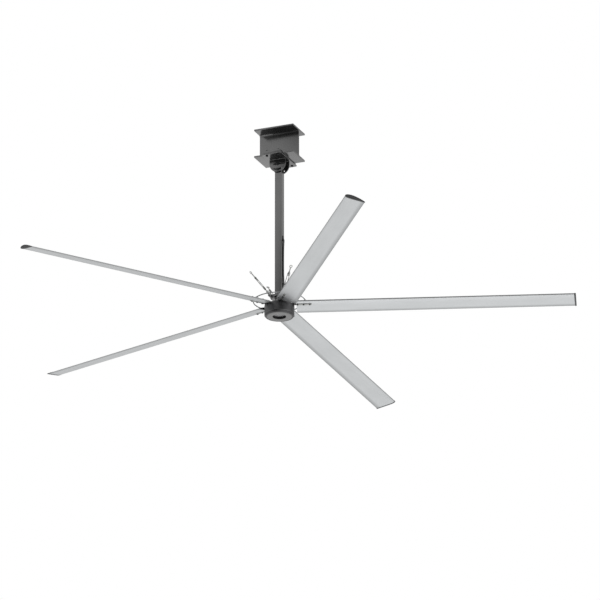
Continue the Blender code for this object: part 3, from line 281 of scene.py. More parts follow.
def prism(outline, start, end, edge=0.0, holes=(), steps=3):
    """A flat outline drawn up along Z. Its rims turn through a quarter circle of the edge radius."""
    angles = np.linspace(0, pi / 2, steps + 1) if edge else np.array([0.0])
    insets, rises = edge * (1 - np.sin(angles)), edge * (1 - np.cos(angles))
    insets = np.concatenate([insets, insets[::-1]])
    levels = np.concatenate([start + rises, end - rises[::-1]])
    parts, walls, offset = [], [], 0
    for line in (outline, *holes):
        line, way = np.asarray(line, float), -1 if walls else 1
        rows = np.array([np.column_stack([inset(line, way * by), np.full(len(line), level)])
                         for by, level in zip(insets, levels)])
        numbers = np.arange(len(rows) * len(line)).reshape(len(rows), -1) + offset
        offset += numbers.size
        parts.append(skinned(rows, ends=False))
        walls.append((rows, numbers))
    whole = joined(parts)
    for row in (0, -1):
        filled = np.array(tessellate_polygon([rows[row].tolist() for rows, _ in walls]), int)
        lid = np.concatenate([numbers[row] for _, numbers in walls])[filled]
        whole["tris"] = np.vstack([whole["tris"], lid])
    return whole


def level_ring(radius, steps, level=0.0):
    """A circle at one height."""
    return np.column_stack([circle(radius, steps), np.full(steps, level)])


def revolved(profile, steps):
    """A circle at each radius and height of a profile, which closes on itself, or at the axis."""
    on_axis = profile[0][0] == 0
    swept = profile[1:-1] if on_axis else profile
    return skinned([level_ring(radius, steps, level) for radius, level in swept], ring=not on_axis)


def turned(corners, radii, soft, steps):
    """A profile with softened corners turned round Z. It is left open where it starts on the axis."""
    return revolved(softened(corners, radii, soft, closed=corners[0][0] > 0), steps)


def carried(path, outline, ring=False, side=(0.0, 1.0, 0.0)):
    """A flat outline carried along a path, square to it, with its first axis kept near one side."""
    path = np.asarray(path, float)
    if ring:
        ahead = np.roll(path, -1, axis=0) - np.roll(path, 1, axis=0)
    else:
        ahead = np.gradient(path, axis=0)
    ahead /= np.linalg.norm(ahead, axis=1)[:, None]
    side = np.broadcast_to(np.asarray(side, float), path.shape)
    across = side - (side * ahead).sum(axis=1)[:, None] * ahead
    across /= np.linalg.norm(across, axis=1)[:, None]
    up = np.cross(ahead, across)
    outline = np.asarray(outline, float)
    if outline.ndim == 2:
        outline = np.broadcast_to(outline, (len(path), *outline.shape))
    rows = path[:, None] + outline[..., :1] * across[:, None] + outline[..., 1:] * up[:, None]
    return skinned(rows, ring=ring)


def threaded(radius, start, end, pitch, depth):
    """A screw thread: the radius falls and rises once each pitch along Z and once each turn."""
    levels = np.linspace(start, end, max(2, int((end - start) / pitch * 6)))[:, None]
    angles = np.linspace(0, 2 * pi, THREAD_SIDES, endpoint=False)[None, :]
    phase = (levels / pitch - angles / (2 * pi)) % 1
    cut = depth * np.abs(2 * phase - 1)
    reach = radius - np.where((levels < start + pitch / 3) | (levels > end - pitch / 3), depth, cut)
    rows = np.stack([reach * np.cos(angles), reach * np.sin(angles), levels + 0 * angles], axis=-1)
    return skinned(rows)


def hexagon(flat, start, end, bore=0.0, low=True, high=True):
    """Six flats at one distance from Z. A cone cuts the corners, lower where they reach further out."""
    angles = np.linspace(0, 2 * pi, HEXAGON_SIDES, endpoint=False)
    reach = flat / np.cos((angles + pi / 6) % (pi / 3) - pi / 6)
    fall = (reach - flat * 0.985) * 0.55
    ways = np.stack([np.cos(angles), np.sin(angles)], axis=-1)

    def row(radius, level):
        return np.column_stack([ways * np.reshape(radius, (-1, 1)), level + np.zeros(HEXAGON_SIDES)])

    rows = [row(flat * 0.95, start)] if low else []
    rows += [row(reach, start + fall * low), row(reach, end - fall * high)]
    rows += [row(flat * 0.95, end)] if high else []
    rows += [row(bore, end), row(bore, start)] if bore else []
    return skinned(rows, ring=bool(bore))


def washer(inner, outer, start, thickness):
    """A flat ring with softened rims, turned round Z."""
    corners = [(inner, start), (outer, start), (outer, start + thickness), (inner, start + thickness)]
    return turned(corners, thickness * 0.3, 2, 40)


def nut(radius, seat, ring, height, bore=0.98):
    """A washer and a six-sided nut on a seat. Height and bore are shares of the thread's radius."""
    return joined([washer(radius * WASHER_HOLE, radius * WASHER_RIM, seat, ring),
                   hexagon(radius * HEAD_FLAT, seat + ring, seat + radius * height, bore=radius * bore)])


def fastener(radius, head_seat, nut_seat, beyond, nutted=True):
    """A bolt along Z: head below its seat, shank, then washer, nut and the thread's end."""
    ring, shank, low = radius * WASHER_SHARE, radius * 0.97, head_seat - radius * 0.5
    shapes = [hexagon(radius * HEAD_FLAT, head_seat - radius * HEAD_HEIGHT, head_seat - ring, high=False),
              washer(radius * WASHER_HOLE, radius * WASHER_RIM, head_seat - ring, ring)]
    if nutted:
        shapes.append(nut(radius, nut_seat, ring, NUT_HEIGHT + WASHER_SHARE))
    thread_start = max(head_seat, nut_seat - radius)
    shapes.append(revolved([(0, low), (shank, low), (shank, thread_start), (0, thread_start)], 32))
    shapes.append(threaded(radius, thread_start - SEAT, nut_seat + beyond, radius * 0.28, radius * 0.09))
    return joined(shapes)


def straight(run, across, level):
    """A line along X, at one distance across and one height."""
    return np.column_stack([run, np.full(len(run), across), np.full(len(run), level)])


def bead(path, size, ripples, ring=True):
    """A weld: a round section carried along a path, swelling and thinning once a ripple."""
    share = 2 * pi * ripples * np.linspace(0, 1, len(path), endpoint=not ring)
    swell = size * (1 + 0.10 * np.cos(share) + 0.05 * np.cos(2.7 * share))
    return carried(path, circle(1.0, 12)[None] * swell[:, None, None], ring=ring, side=(0, 0, 1))


def even(points, step):
    """Points at even distances along a closed line of corners."""
    points = np.vstack([points, points[:1]])
    lengths = np.concatenate([[0], np.cumsum(np.linalg.norm(np.diff(points, axis=0), axis=1))])
    at = np.linspace(0, lengths[-1], int(lengths[-1] / step), endpoint=False)
    return np.stack([np.interp(at, lengths, column) for column in points.T], axis=-1)


def add_piece(name, shape, look, body, *nodes):
    """Puts a part into a mesh whose faces all point outwards, and gives it its finish and body."""
    mesh = bpy.data.meshes.new(name)
    mesh.from_pydata(shape["points"].tolist(), [], shape["quads"].tolist() + shape["tris"].tolist())
    mesh.attributes.new("local", "FLOAT_VECTOR", "POINT")
    mesh.attributes["local"].data.foreach_set("vector", shape["local"].ravel())
    surface = bmesh.new()
    surface.from_mesh(mesh)
    bmesh.ops.remove_doubles(surface, verts=surface.verts, dist=1e-7)
    bmesh.ops.recalc_face_normals(surface, faces=surface.faces)
    surface.to_mesh(mesh)
    surface.free()
    mesh.shade_smooth()
    mesh.set_sharp_from_angle(angle=SHARP_ANGLE)
    piece = bpy.data.objects.new(name, mesh)
    bpy.context.scene.collection.objects.link(piece)
    mesh.materials.append(finish(look))
    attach(piece, body)
    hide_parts(*nodes)


# Finishes


def linear(hex_colour):
    """An sRGB hex colour as linear red, green and blue."""
    values = [int(hex_colour[at:at + 2], 16) / 255 for at in (0, 2, 4)]
    return tuple(v / 12.92 if v <= 0.04045 else ((v + 0.055) / 1.055) ** 2.4 for v in values)


def node(tree, kind, inputs=None, output=0, **settings):
    """Adds a shader node, sets its options, fills or links its sockets, and gives one of its outputs."""
    made = tree.nodes.new("ShaderNode" + kind)
    for key, value in settings.items():
        setattr(made, key, value)
    for key, value in (inputs or {}).items():
        if isinstance(value, bpy.types.NodeSocket):
            tree.links.new(value, made.inputs[key])
        else:
            made.inputs[key].default_value = value
    return made.outputs[output]


def plain_finish(name, **sockets):
    """A material whose shader's own sockets hold everything that is the same all over."""
    made = bpy.data.materials.new(name)
    made.use_nodes = True
    shader = made.node_tree.nodes["Principled BSDF"]
    for key, value in sockets.items():
        shader.inputs[key.replace("_", " ")].default_value = value
    return made, made.node_tree, shader


def tone(colour, factor):
    """The colour times a factor, no brighter than white, and opaque."""
    return (*np.minimum(1.0, np.multiply(colour, factor)), 1)


# Where most of a noise lies, and most of two noises added
NOISE_SPAN, SUM_SPAN = (0.3, 0.7), (0.75, 1.25)


def toned(tree, colour, amount, first, second, span=NOISE_SPAN):
    """Two tones of a colour, from the first to the second while the amount crosses the span."""
    share = node(tree, "MapRange", {0: amount, 1: span[0], 2: span[1]})
    return node(tree, "Mix", {0: share, 6: tone(colour, first), 7: tone(colour, second)}, 2, data_type="RGBA")


def dressed(finish, colour, relief=None, depth=0.0, gloss=None):
    """Links a colour, a relief of this depth in metres, and a roughness: its pattern, low and high values."""
    made, tree, shader = finish
    tree.links.new(colour, shader.inputs["Base Color"])
    if gloss:
        amount, low, high = gloss
        span = {1: NOISE_SPAN[0], 2: NOISE_SPAN[1], 3: low, 4: high}
        roughness = node(tree, "MapRange", {0: amount, **span})
        tree.links.new(roughness, shader.inputs["Roughness"])
    if relief is not None:
        raised = node(tree, "Bump", {"Height": relief, "Distance": depth, "Strength": 1.0})
        tree.links.new(raised, shader.inputs["Normal"])
    return made


def clouded(name, colour, cloud, tones, grain=None, depth=0.0, gloss=None, span=NOISE_SPAN, **sockets):
    """Two tones of a colour in clouds, which may drive the roughness, over a grain. Both are noises."""
    made, tree, shader = plain_finish(name, **sockets)
    place = node(tree, "TexCoord", output="Object")
    noises = [
        node(tree, "TexNoise", {"Vector": place, "Scale": 1 / size, "Detail": detail, "Roughness": rough})
        for size, detail, rough in ((cloud, grain) if grain else (cloud,))]
    mixed = toned(tree, colour, noises[0], *tones, span)
    return dressed((made, tree, shader), mixed, noises[-1] if depth else None, depth,
                   (noises[0], *gloss) if gloss else None)


def powder_coat(name, colour):
    """Metallic grey powder coat on steel: its flakes mirror the room softly, over a faint orange peel."""
    made, tree, shader = plain_finish(name, Metallic=0.92, Roughness=0.26)
    place = node(tree, "TexCoord", output="Object")
    cloud = node(tree, "TexNoise", {"Vector": place, "Scale": 1 / 0.09, "Detail": 4.0})
    flakes = node(tree, "TexNoise", {"Vector": place, "Scale": 1 / 0.006, "Detail": 2.0})
    both = node(tree, "Math", {0: cloud, 1: flakes}, operation="ADD")
    mixed = toned(tree, colour, both, 0.93, 1.07, SUM_SPAN)
    # Orange peel is about 3 mm across and 20 microns deep
    peel = node(tree, "TexNoise", {"Vector": place, "Scale": 1 / 0.003, "Detail": 2.0})
    return dressed((made, tree, shader), mixed, peel, 0.00002, (cloud, 0.18, 0.25))


def cast_paint(name, colour):
    """Dark metallic paint on a turned aluminium casting: a soft mirror of the room over fine pits."""
    made, tree, shader = plain_finish(name, Metallic=0.92, Roughness=0.3)
    place = node(tree, "TexCoord", output="Object")
    cloud = node(tree, "TexNoise", {"Vector": place, "Scale": 1 / 0.05, "Detail": 4.0})
    pits = node(tree, "TexNoise", {"Vector": place, "Scale": 1 / 0.0025, "Detail": 3.0, "Roughness": 0.7})
    mixed = toned(tree, colour, cloud, 0.86, 1.14)
    return dressed((made, tree, shader), mixed, pits, 0.00003, (pits, 0.34, 0.44))


def anodised_extrusion(name, colour):
    """Satin anodised aluminium: pale grey, with die lines along its length, and darker towards both of its
    edges. The darkening is painted shade standing in for the darker reflection on its rounded nose and tail.
    """
    made, tree, shader = plain_finish(name, Metallic=1.0, Roughness=0.4)
    own = node(tree, "Attribute", output="Vector", attribute_name="local")
    drawn = node(tree, "Mapping", {"Vector": own, "Scale": (0.02, 1.0, 1.0)})
    slow = node(tree, "Mapping", {"Vector": own, "Scale": (0.25, 1.0, 1.0)})
    # Die lines are under 1 mm apart; these are 6 mm, to show in the picture
    lines = node(tree, "TexNoise", {"Vector": drawn, "Scale": 1 / 0.006, "Detail": 4.0, "Roughness": 0.65})
    cloud = node(tree, "TexNoise", {"Vector": slow, "Scale": 1 / 0.12, "Detail": 3.0})
    both = node(tree, "Math", {0: lines, 1: cloud}, operation="ADD")
    mixed = toned(tree, colour, both, 0.94, 1.05, SUM_SPAN)
    across = node(tree, "SeparateXYZ", {0: own}, "Y")
    nose, tail = -SPAR_SHARE * CHORD, (1 - SPAR_SHARE) * CHORD
    # Painted shade: within a band at the nose and at the tail, the colour darkens to the edge tone
    near_tail = node(tree, "MapRange", {0: across, 1: tail - TAIL_SHADE_BAND, 2: tail})
    near_nose = node(tree, "MapRange", {0: across, 1: nose, 2: nose + NOSE_SHADE_BAND, 3: 1.0, 4: 0.0})
    edge_shade = node(tree, "Math", {0: near_tail, 1: near_nose}, operation="ADD")
    edge_shaded = node(tree, "Mix", {0: edge_shade, 6: mixed, 7: tone(colour, EDGE_SHADE_TONE)}, 2, data_type="RGBA")
    return dressed((made, tree, shader), edge_shaded, lines, 0.00001, (lines, 0.36, 0.46))


def moulded_plastic(name, colour):
    """Glass filled nylon from an eroded mould: near black, with an even fine grain."""
    made, tree, shader = plain_finish(name, Roughness=0.55, IOR=1.53)
    place = node(tree, "TexCoord", output="Object")
    grain = node(tree, "TexVoronoi", {"Vector": place, "Scale": 1 / 0.0016}, "Distance")
    cloud = node(tree, "TexNoise", {"Vector": place, "Scale": 1 / 0.04, "Detail": 3.0})
    return dressed((made, tree, shader), toned(tree, colour, cloud, 0.85, 1.15), grain, 0.00006)


def cable_jacket(name, colour):
    """Black extruded PVC: a low gloss, with the lay of the cores just telling through."""
    made, tree, shader = plain_finish(name, Roughness=0.5, IOR=1.52)
    place = node(tree, "TexCoord", output="Object")
    cloud = node(tree, "TexNoise", {"Vector": place, "Scale": 1 / 0.02, "Detail": 3.0})
    lay = node(tree, "TexWave", {"Vector": place, "Scale": 1 / 0.05, "Distortion": 0.6}, "Fac",
               bands_direction="DIAGONAL")
    return dressed((made, tree, shader), toned(tree, colour, cloud, 0.8, 1.3), lay, 0.0002)


def enamelled_copper(name, colour):
    """Coils of enamelled copper wire: warm and glossy, turns 2 mm apart, coarser than real to show."""
    coat = {"Coat_Weight": 0.5, "Coat_Roughness": 0.15}
    made, tree, shader = plain_finish(name, Metallic=0.8, Roughness=0.3, **coat)
    waves = {"Vector": node(tree, "TexCoord", output="Object"), "Scale": WAVES_2_MM, "Distortion": 2.0,
             "Detail": 1.0}
    turns = node(tree, "TexWave", waves, "Fac", bands_direction="Z")
    return dressed((made, tree, shader), toned(tree, colour, turns, 0.45, 1.0, (0.0, 1.0)), turns, 0.0004)


def laminated_steel(name, colour):
    """Stacked electrical steel: dull grey sheets, drawn 2 mm thick, coarser than real to show."""
    made, tree, shader = plain_finish(name, Metallic=0.75, Roughness=0.5)
    place = node(tree, "TexCoord", output="Object")
    sheets = node(tree, "TexWave", {"Vector": place, "Scale": WAVES_2_MM}, "Fac", bands_direction="Z")
    mixed = toned(tree, colour, sheets, 0.6, 1.0, (0.1, 0.5))
    cloud = node(tree, "TexNoise", {"Vector": place, "Scale": 1 / 0.02, "Detail": 3.0})
    return dressed((made, tree, shader), mixed, sheets, 0.0001, (cloud, 0.42, 0.6))


# A wave texture of this scale has a band every 2 mm
WAVES_2_MM = 1 / 0.0128
# Zinc plating on turned steel: a cool grey metal with a faint yellow bloom
ZINC = {"cloud": (0.012, 4, 0.5), "tones": (1.0, (1.0, 0.97, 0.88)), "grain": (0.0012, 3, 0.5),
        "depth": 0.00002, "gloss": (0.28, 0.46), "Metallic": 1.0}

# Each finish: its maker, the setting that holds its colour, its slot, and the maker's own settings.
# A cloud or grain is the size of its patches in metres, its detail and its roughness.
FINISHES = {
    "grey_powder_coat": (powder_coat, "frame_colour", "painted_steel", {}),
    "dark_cast_paint": (cast_paint, "motor_colour", "cast_housing", {}),
    # The cover rim's cast paint is darker than the drum's: its own dark paint, plus painted shade on the
    # chamfer and the well's wall
    "darker_cast_paint": (cast_paint, "rim_paint_and_shade_colour", "cast_housing", {}),
    "satin_anodised_aluminium": (anodised_extrusion, "blade_colour", "blade_aluminium", {}),
    "moulded_nylon": (moulded_plastic, "cap_colour", "dark_plastic", {}),
    "black_pvc_jacket": (cable_jacket, "cable_colour", "cable_jacket", {}),
    "enamelled_copper_wire": (enamelled_copper, "copper_colour", "copper_winding", {}),
    "laminated_core_steel": (laminated_steel, "core_colour", "core_steel", {}),
    "bright_zinc_plate": (clouded, "zinc_colour", "zinc_steel", ZINC),
    # The dull zinc plates the strips. On the turnbuckle bodies it is a darker copy of the bright zinc:
    # painted shade on their bosses
    "dull_zinc_plate": (clouded, "strip_and_shaded_body_colour", "zinc_steel", ZINC),
    # Pale matt paint on sheet steel: even, with a faint cloud and a fine grain. Its pale tone is partly
    # painted light, so that the disc in the shaded well reads light
    "pale_matt_paint": (clouded, "well_paint_and_light_colour", "painted_steel", {
        "cloud": (0.03, 4, 0.5), "tones": (0.9, 1.0), "grain": (0.002, 2, 0.5), "depth": 0.00002,
        "Roughness": 0.6}),
    # Oil blackened steel: a dark, slightly brown satin metal, greyer where it is rubbed
    "black_oxide_steel": (clouded, "fastener_colour", "black_steel", {
        "cloud": (0.008, 4, 0.6), "tones": (1.0, 2.2), "grain": (0.0015, 3, 0.5), "depth": 0.00004,
        "gloss": (0.52, 0.36), "span": (0.45, 0.75), "Metallic": 0.7}),
    # Moulded rubber: matt black with a dusty bloom
    "moulded_black_rubber": (clouded, "rubber_colour", "rubber", {
        "cloud": (0.01, 4, 0.5), "tones": (1.0, 1.8), "grain": (0.0012, 3, 0.5), "depth": 0.00005,
        "Roughness": 0.8, "IOR": 1.52}),
    # Galvanised steel wire laid in strands: a mid grey metal, darker with grease between the wires
    "galvanised_wire_rope": (clouded, "rope_colour", "wire_rope", {
        "cloud": (0.0018, 2, 0.5), "tones": (0.55, 1.0), "depth": 0.0001,
        "Metallic": 0.85, "Roughness": 0.42}),
    # Ground bearing steel: bright, with fine rings from the wheel
    "ground_bearing_steel": (clouded, "bearing_colour", "bearing_steel", {
        "cloud": (0.002, 4, 0.5), "tones": (0.85, 1.0), "depth": 0.00001, "gloss": (0.18, 0.34),
        "Metallic": 1.0}),
    # Pale matt studio floor, very slightly uneven
    "matt_floor_paint": (clouded, "floor_colour", "", {
        "cloud": (1.5, 3, 0.5), "tones": (0.985, 1.0), "Roughness": 0.9}),
}


def finish(name):
    """The finish of this name, made the first time it is asked for."""
    made = bpy.data.materials.get(name)
    if made is None:
        maker, colour, _, settings = FINISHES[name]
        made = maker(name, tuple(getattr(bpy.context.scene.fan_finishes, colour)), **settings)
    return made


# Settings that a user would change


def size_setting(label, words, default, low, high):
    return bpy.props.FloatProperty(name=label, description=words, default=default, min=low, max=high,
                                   precision=4, subtype="DISTANCE", unit="LENGTH")


def colour_setting(label, words, hex_colour):
    return bpy.props.FloatVectorProperty(name=label, description=words, default=linear(hex_colour),
                                         min=0.0, max=1.0, size=3, subtype="COLOR")


def light_setting(label, words, default):
    return bpy.props.FloatProperty(name=label, description=words, default=default, min=0.0, max=5.0)


class FanSizes(bpy.types.PropertyGroup):
    plate_edge: size_setting("Plate edge", "Rounding of plates and bars", 0.0012, 0.0002, 0.003)
    weld_size: size_setting("Weld size", "Radius of the weld beads", 0.0034, 0.001, 0.006)
    weld_ripple: size_setting("Weld ripple", "Distance between ripples in a weld", 0.004, 0.002, 0.01)
    rope_lay: size_setting("Rope lay", "Length of a strand's turn round the rope", 0.056, 0.03, 0.1)
    rope_strands: bpy.props.IntProperty(name="Rope strands", description="Strands round the rope's core",
                                        default=6, min=3, max=8)
    drum_rounding: size_setting("Drum rounding", "Rounding of the drum's upper rim", 0.006, 0.001, 0.01)


class FanFinishes(bpy.types.PropertyGroup):
    frame_colour: colour_setting("Frame", "Coat on beam, bracket, downrod and face plate", "656565")
    motor_colour: colour_setting("Motor", "Paint on the motor's drum and flange", "505051")
    # Darker than the motor's paint: the rim's own dark paint plus painted shade on its chamfer and well wall
    rim_paint_and_shade_colour: colour_setting("Cover rim", "Paint on the cover's cast rim", "3c3c3d")
    blade_colour: colour_setting("Blades", "Anodised blades", "b2b4b5")
    cap_colour: colour_setting("Blade caps", "Moulded end caps", "303132")
    zinc_colour: colour_setting("Turnbuckles", "Bright zinc plating", "a8aaac")
    # Dull zinc on the strips, and painted shade on the turnbuckle bodies, as a darker copy of the bright zinc
    strip_and_shaded_body_colour: colour_setting("Strips", "Dull zinc plating on strips and turnbuckle bodies", "8a8c8d")
    # Partly painted light: a pale tone, so that the disc in the shaded well reads light
    well_paint_and_light_colour: colour_setting("Well", "Matt paint on the disc in the cover's well", "7c7c7d")
    fastener_colour: colour_setting("Fasteners", "Blackened bolts, strips and carrier", "303132")
    cable_colour: colour_setting("Cable", "Cable jacket", "3a3a3b")
    rubber_colour: colour_setting("Grommets", "Rubber", "191919")
    rope_colour: colour_setting("Safety ring", "Wire rope", "a9abac")
    bearing_colour: colour_setting("Bearings", "Ground steel", "c4c5c6")
    copper_colour: colour_setting("Windings", "Enamelled copper", "b87040")
    core_colour: colour_setting("Motor core", "Laminated steel and magnets", "77787a")
    floor_colour: colour_setting("Floor", "Studio floor", "ececec")


class StudioSettings(bpy.types.PropertyGroup):
    camera_distance: size_setting("Camera distance", "From the hub to the camera", 98.0, 20.0, 200.0)
    floor_drop: size_setting("Floor drop", "From the blades down to the floor", 110.0, 2.0, 300.0)
    floor_size: size_setting("Floor size", "Width of the square floor", 24.0, 8.0, 60.0)
    key_size: size_setting("Key light size", "Width of the soft light", 9.0, 1.0, 20.0)
    key_power: bpy.props.FloatProperty(name="Key light power", description="Power of the soft light",
                                       default=200.0, min=0.0, max=20000.0, unit="POWER")
    surround: light_setting("Surround", "Brightness of the plain white surround behind the fan", 1.0)
    light_below: light_setting("Light below", "Brightness of the light from all round below", 1.42)
    light_above: light_setting("Light above", "Brightness of the light from all round above", 0.75)
    light_facing: light_setting("Light facing", "Share of it that comes from the viewer's side", 1.5)
    light_front: light_setting("Light in front", "Share of it that comes from straight in front", 0.45)
    light_low_front: light_setting("Light low in front", "Share of it that comes from below in front", 0.08)


# Beam and hanger


def beam_shape():
    """The rolled H section, fillets and all, drawn out along X."""
    half, web = BEAM_WIDTH / 2, BEAM_WEB / 2
    upper = [(half, 0), (half, -BEAM_FLANGE), (web, -BEAM_FLANGE)]
    right = upper + [(x, -BEAM_HEIGHT - y) for x, y in reversed(upper)]
    corners = (right + [(-x, y) for x, y in reversed(right)])[::-1]
    outline = softened(corners, [0.0015, 0.004, BEAM_FILLET, BEAM_FILLET, 0.004, 0.0015] * 2, 8)
    return placed(prism(outline, -BEAM_LENGTH / 2, BEAM_LENGTH / 2, 0.0006), ALONG_X)


def ear_outline():
    """A half circle whose straight sides run up into the plate."""
    low = arc(EAR_RADIUS, pi, 2 * pi, 64)
    return np.vstack([low, [(EAR_RADIUS, PIVOT_DROP + 0.001), (-EAR_RADIUS, PIVOT_DROP + 0.001)]])


def slot_outline(radius, half, swing):
    """Two arcs about the pivot, one inside the other, joined by round ends."""
    low, high = -pi / 2 - swing, -pi / 2 + swing
    high_end = (radius * cos(high), radius * sin(high))
    low_end = (radius * cos(low), radius * sin(low))
    return np.vstack([
        arc(radius + half, low, high, 32), arc(half, high, high + pi, 12, high_end)[1:-1],
        arc(radius - half, high, low, 32), arc(half, low + pi, low + 2 * pi, 12, low_end)[1:-1],
    ])


def hanger_shape(sizes):
    """The plate, two slotted ears, and a weld along each side of each ear."""
    plate = rectangle(BRACKET_LENGTH, BRACKET_WIDTH, 0.008)
    shapes = [prism(plate, BRACKET_BOTTOM, BRACKET_BOTTOM + BRACKET_THICKNESS, sizes.plate_edge)]
    holes = [circle(PIVOT_BOLT_RADIUS + BOLT_CLEARANCE, 40),
             slot_outline(SLOT_RADIUS, LOCK_BOLT_RADIUS + BOLT_CLEARANCE, SLOT_SWING)]
    ear = prism(ear_outline(), -EAR_THICKNESS / 2, EAR_THICKNESS / 2, sizes.plate_edge, holes)
    run = np.arange(-EAR_RADIUS + 0.003, EAR_RADIUS - 0.003, WELD_STEP)
    ripples = EAR_RADIUS * 2 / sizes.weld_ripple
    for middle in (-EAR_SPACING / 2, EAR_SPACING / 2):
        shapes.append(placed(ear, HANGER @ shift(y=middle) @ ALONG_Y))
        for face in (middle - EAR_THICKNESS / 2, middle + EAR_THICKNESS / 2):
            shapes.append(bead(straight(run, face, BRACKET_BOTTOM), sizes.weld_size, ripples, ring=False))
    return joined(shapes)


def clamp_shape():
    """A stepped bar: its toe lies on the flange, its heel on the plate."""
    outer, edge = BRACKET_WIDTH / 2, BEAM_WIDTH / 2 + SEAT
    inner, face = outer - CLAMP_DEPTH, -BEAM_HEIGHT + BEAM_FLANGE + SEAT
    top = face + CLAMP_THICKNESS
    corners = [(inner, face), (edge, face), (edge, -BEAM_HEIGHT), (outer, -BEAM_HEIGHT),
               (outer, top), (inner, top)]
    outline = softened(corners, [0.0015, 0.0002, 0.0008, 0.0015, 0.003, 0.003])
    return placed(prism(outline, -CLAMP_LENGTH / 2, CLAMP_LENGTH / 2, 0.0015), ALONG_X)


# Downrod and cable


def lug_outline():
    """A round nose over a sloped back whose foot stands on the base plate."""
    rim, foot = LUG_HOLE_RADIUS + LUG_RIM, BASE_TOP - 0.001 - LUG_HOLE_Z
    rest = [(-rim, rim), (-LUG_ROOT, foot + 0.003), (-LUG_ROOT, foot), (rim * 0.7, foot)]
    return np.vstack([arc(rim, -radians(50), pi / 2, 20), rest])


def downrod_shape(sizes):
    """The square tube and its base plate, the weld round its foot, and four lugs."""
    bore = TUBE_SIDE - 2 * TUBE_WALL
    tube = rectangle(TUBE_SIDE, TUBE_SIDE, TUBE_CORNER, 8)
    hollow = rectangle(bore, bore, TUBE_CORNER - TUBE_WALL)
    foot = even(tube, WELD_STEP)
    weld = np.column_stack([foot, np.full(len(foot), BASE_TOP)])
    shapes = [prism(tube, BASE_TOP - 0.001, HUB_DROP + TUBE_ABOVE_PIVOT, 0.0006, [hollow]),
              prism(rectangle(BASE_SIDE, BASE_SIDE, TUBE_CORNER), BASE_BOTTOM, BASE_TOP, sizes.plate_edge),
              bead(weld, sizes.weld_size, round(4 * TUBE_SIDE / sizes.weld_ripple))]
    lug = prism(lug_outline(), -LUG_THICKNESS / 2, LUG_THICKNESS / 2, 0.0008, [circle(LUG_HOLE_RADIUS, 28)])
    run = np.arange(-LUG_ROOT, LUG_RIM, WELD_STEP)
    ripples = len(run) * WELD_STEP / sizes.weld_ripple
    welds = [bead(straight(run, side * LUG_THICKNESS / 2, BASE_TOP - LUG_HOLE_Z),
                  sizes.weld_size * 0.7, ripples, ring=False) for side in (-1, 1)]
    welded = joined([placed(lug, ALONG_Y), *welds])
    shapes += [placed(welded, lug_place(index)) for index in range(4)]
    return placed(joined(shapes), HUB)


def grommet_shape():
    """An oval lip with a thin web inside it, closed round the cable."""
    start = TUBE_SIDE / 2 + SEAT
    lip = rectangle(GROMMET_WIDTH, GROMMET_HEIGHT, GROMMET_WIDTH / 2 - SEAT, 14)
    hole = rectangle(CABLE_HOLE_WIDTH, CABLE_HOLE_HEIGHT, CABLE_HOLE_WIDTH / 2 - SEAT, 14)
    web = rectangle(CABLE_HOLE_WIDTH + 0.002, CABLE_HOLE_HEIGHT + 0.002, CABLE_HOLE_WIDTH / 2, 14)
    return joined([prism(lip, start, start + GROMMET_LIP, 0.0018, [hole], 5),
                   prism(web, start, start + GROMMET_WEB)])


def cable_bends(bulge, hole, way):
    """Two even bends one after the other: each goes out by the bend times one minus its angle's cosine."""
    turned = acos(1 - bulge / (2 * CABLE_BEND))
    top = hole + way * CABLE_RISE
    low = top - way * 2 * CABLE_BEND * sin(turned)
    angles = np.linspace(0, turned, CABLE_STEPS + 1)
    outward = CABLE_BEND * (1 - np.cos(angles))
    along = way * CABLE_BEND * np.sin(angles)
    out = np.concatenate([outward, bulge - outward[-2::-1]])
    level = np.concatenate([low + along, top - along[-2::-1]])
    return np.column_stack([out, CABLE_ACROSS * out / bulge, level])


def cable_route():
    """Up the shaft, out through the downrod's side, up its face and in again."""
    lying = TUBE_SIDE / 2 + CABLE_RADIUS + CABLE_GAP
    bulge = lying + GROMMET_LIP + 2 * CABLE_GAP
    glide = CABLE_RISE + CABLE_GLIDE
    return np.vstack([
        (0, 0, CABLE_LOW_END),
        cable_bends(bulge, CABLE_OUT, 1),
        (lying, CABLE_ACROSS, CABLE_OUT + glide),
        (lying, CABLE_ACROSS, CABLE_IN - glide),
        cable_bends(bulge, CABLE_IN, -1)[::-1],
        (0, 0, CABLE_HIGH_END),
    ]) + (0, 0, HUB_Z)


def smooth_route(corners, step):
    """A centripetal spline: each span blends its four nearest corners by the root of their distances."""
    ends = np.vstack([2 * corners[:1] - corners[1:2], corners, 2 * corners[-1:] - corners[-2:-1]])
    spans = []
    for index in range(1, len(ends) - 2):
        four = ends[index - 1:index + 3]
        knots = np.concatenate([[0], np.cumsum(np.sqrt(np.linalg.norm(np.diff(four, axis=0), axis=1)))])
        count = max(1, round(float(np.linalg.norm(four[2] - four[1])) / step))
        at = np.linspace(knots[1], knots[2], count + 1)[1:, None]
        level = [np.broadcast_to(corner, (count, 3)) for corner in four]
        for span in (1, 2, 2):
            low = knots[1:] if len(level) == 2 else knots
            level = [a + (b - a) * (at - low[i]) / (low[i + span] - low[i])
                     for i, (a, b) in enumerate(zip(level, level[1:]))]
        spans.append(level[0])
    return np.vstack([corners[:1]] + spans)


# Motor


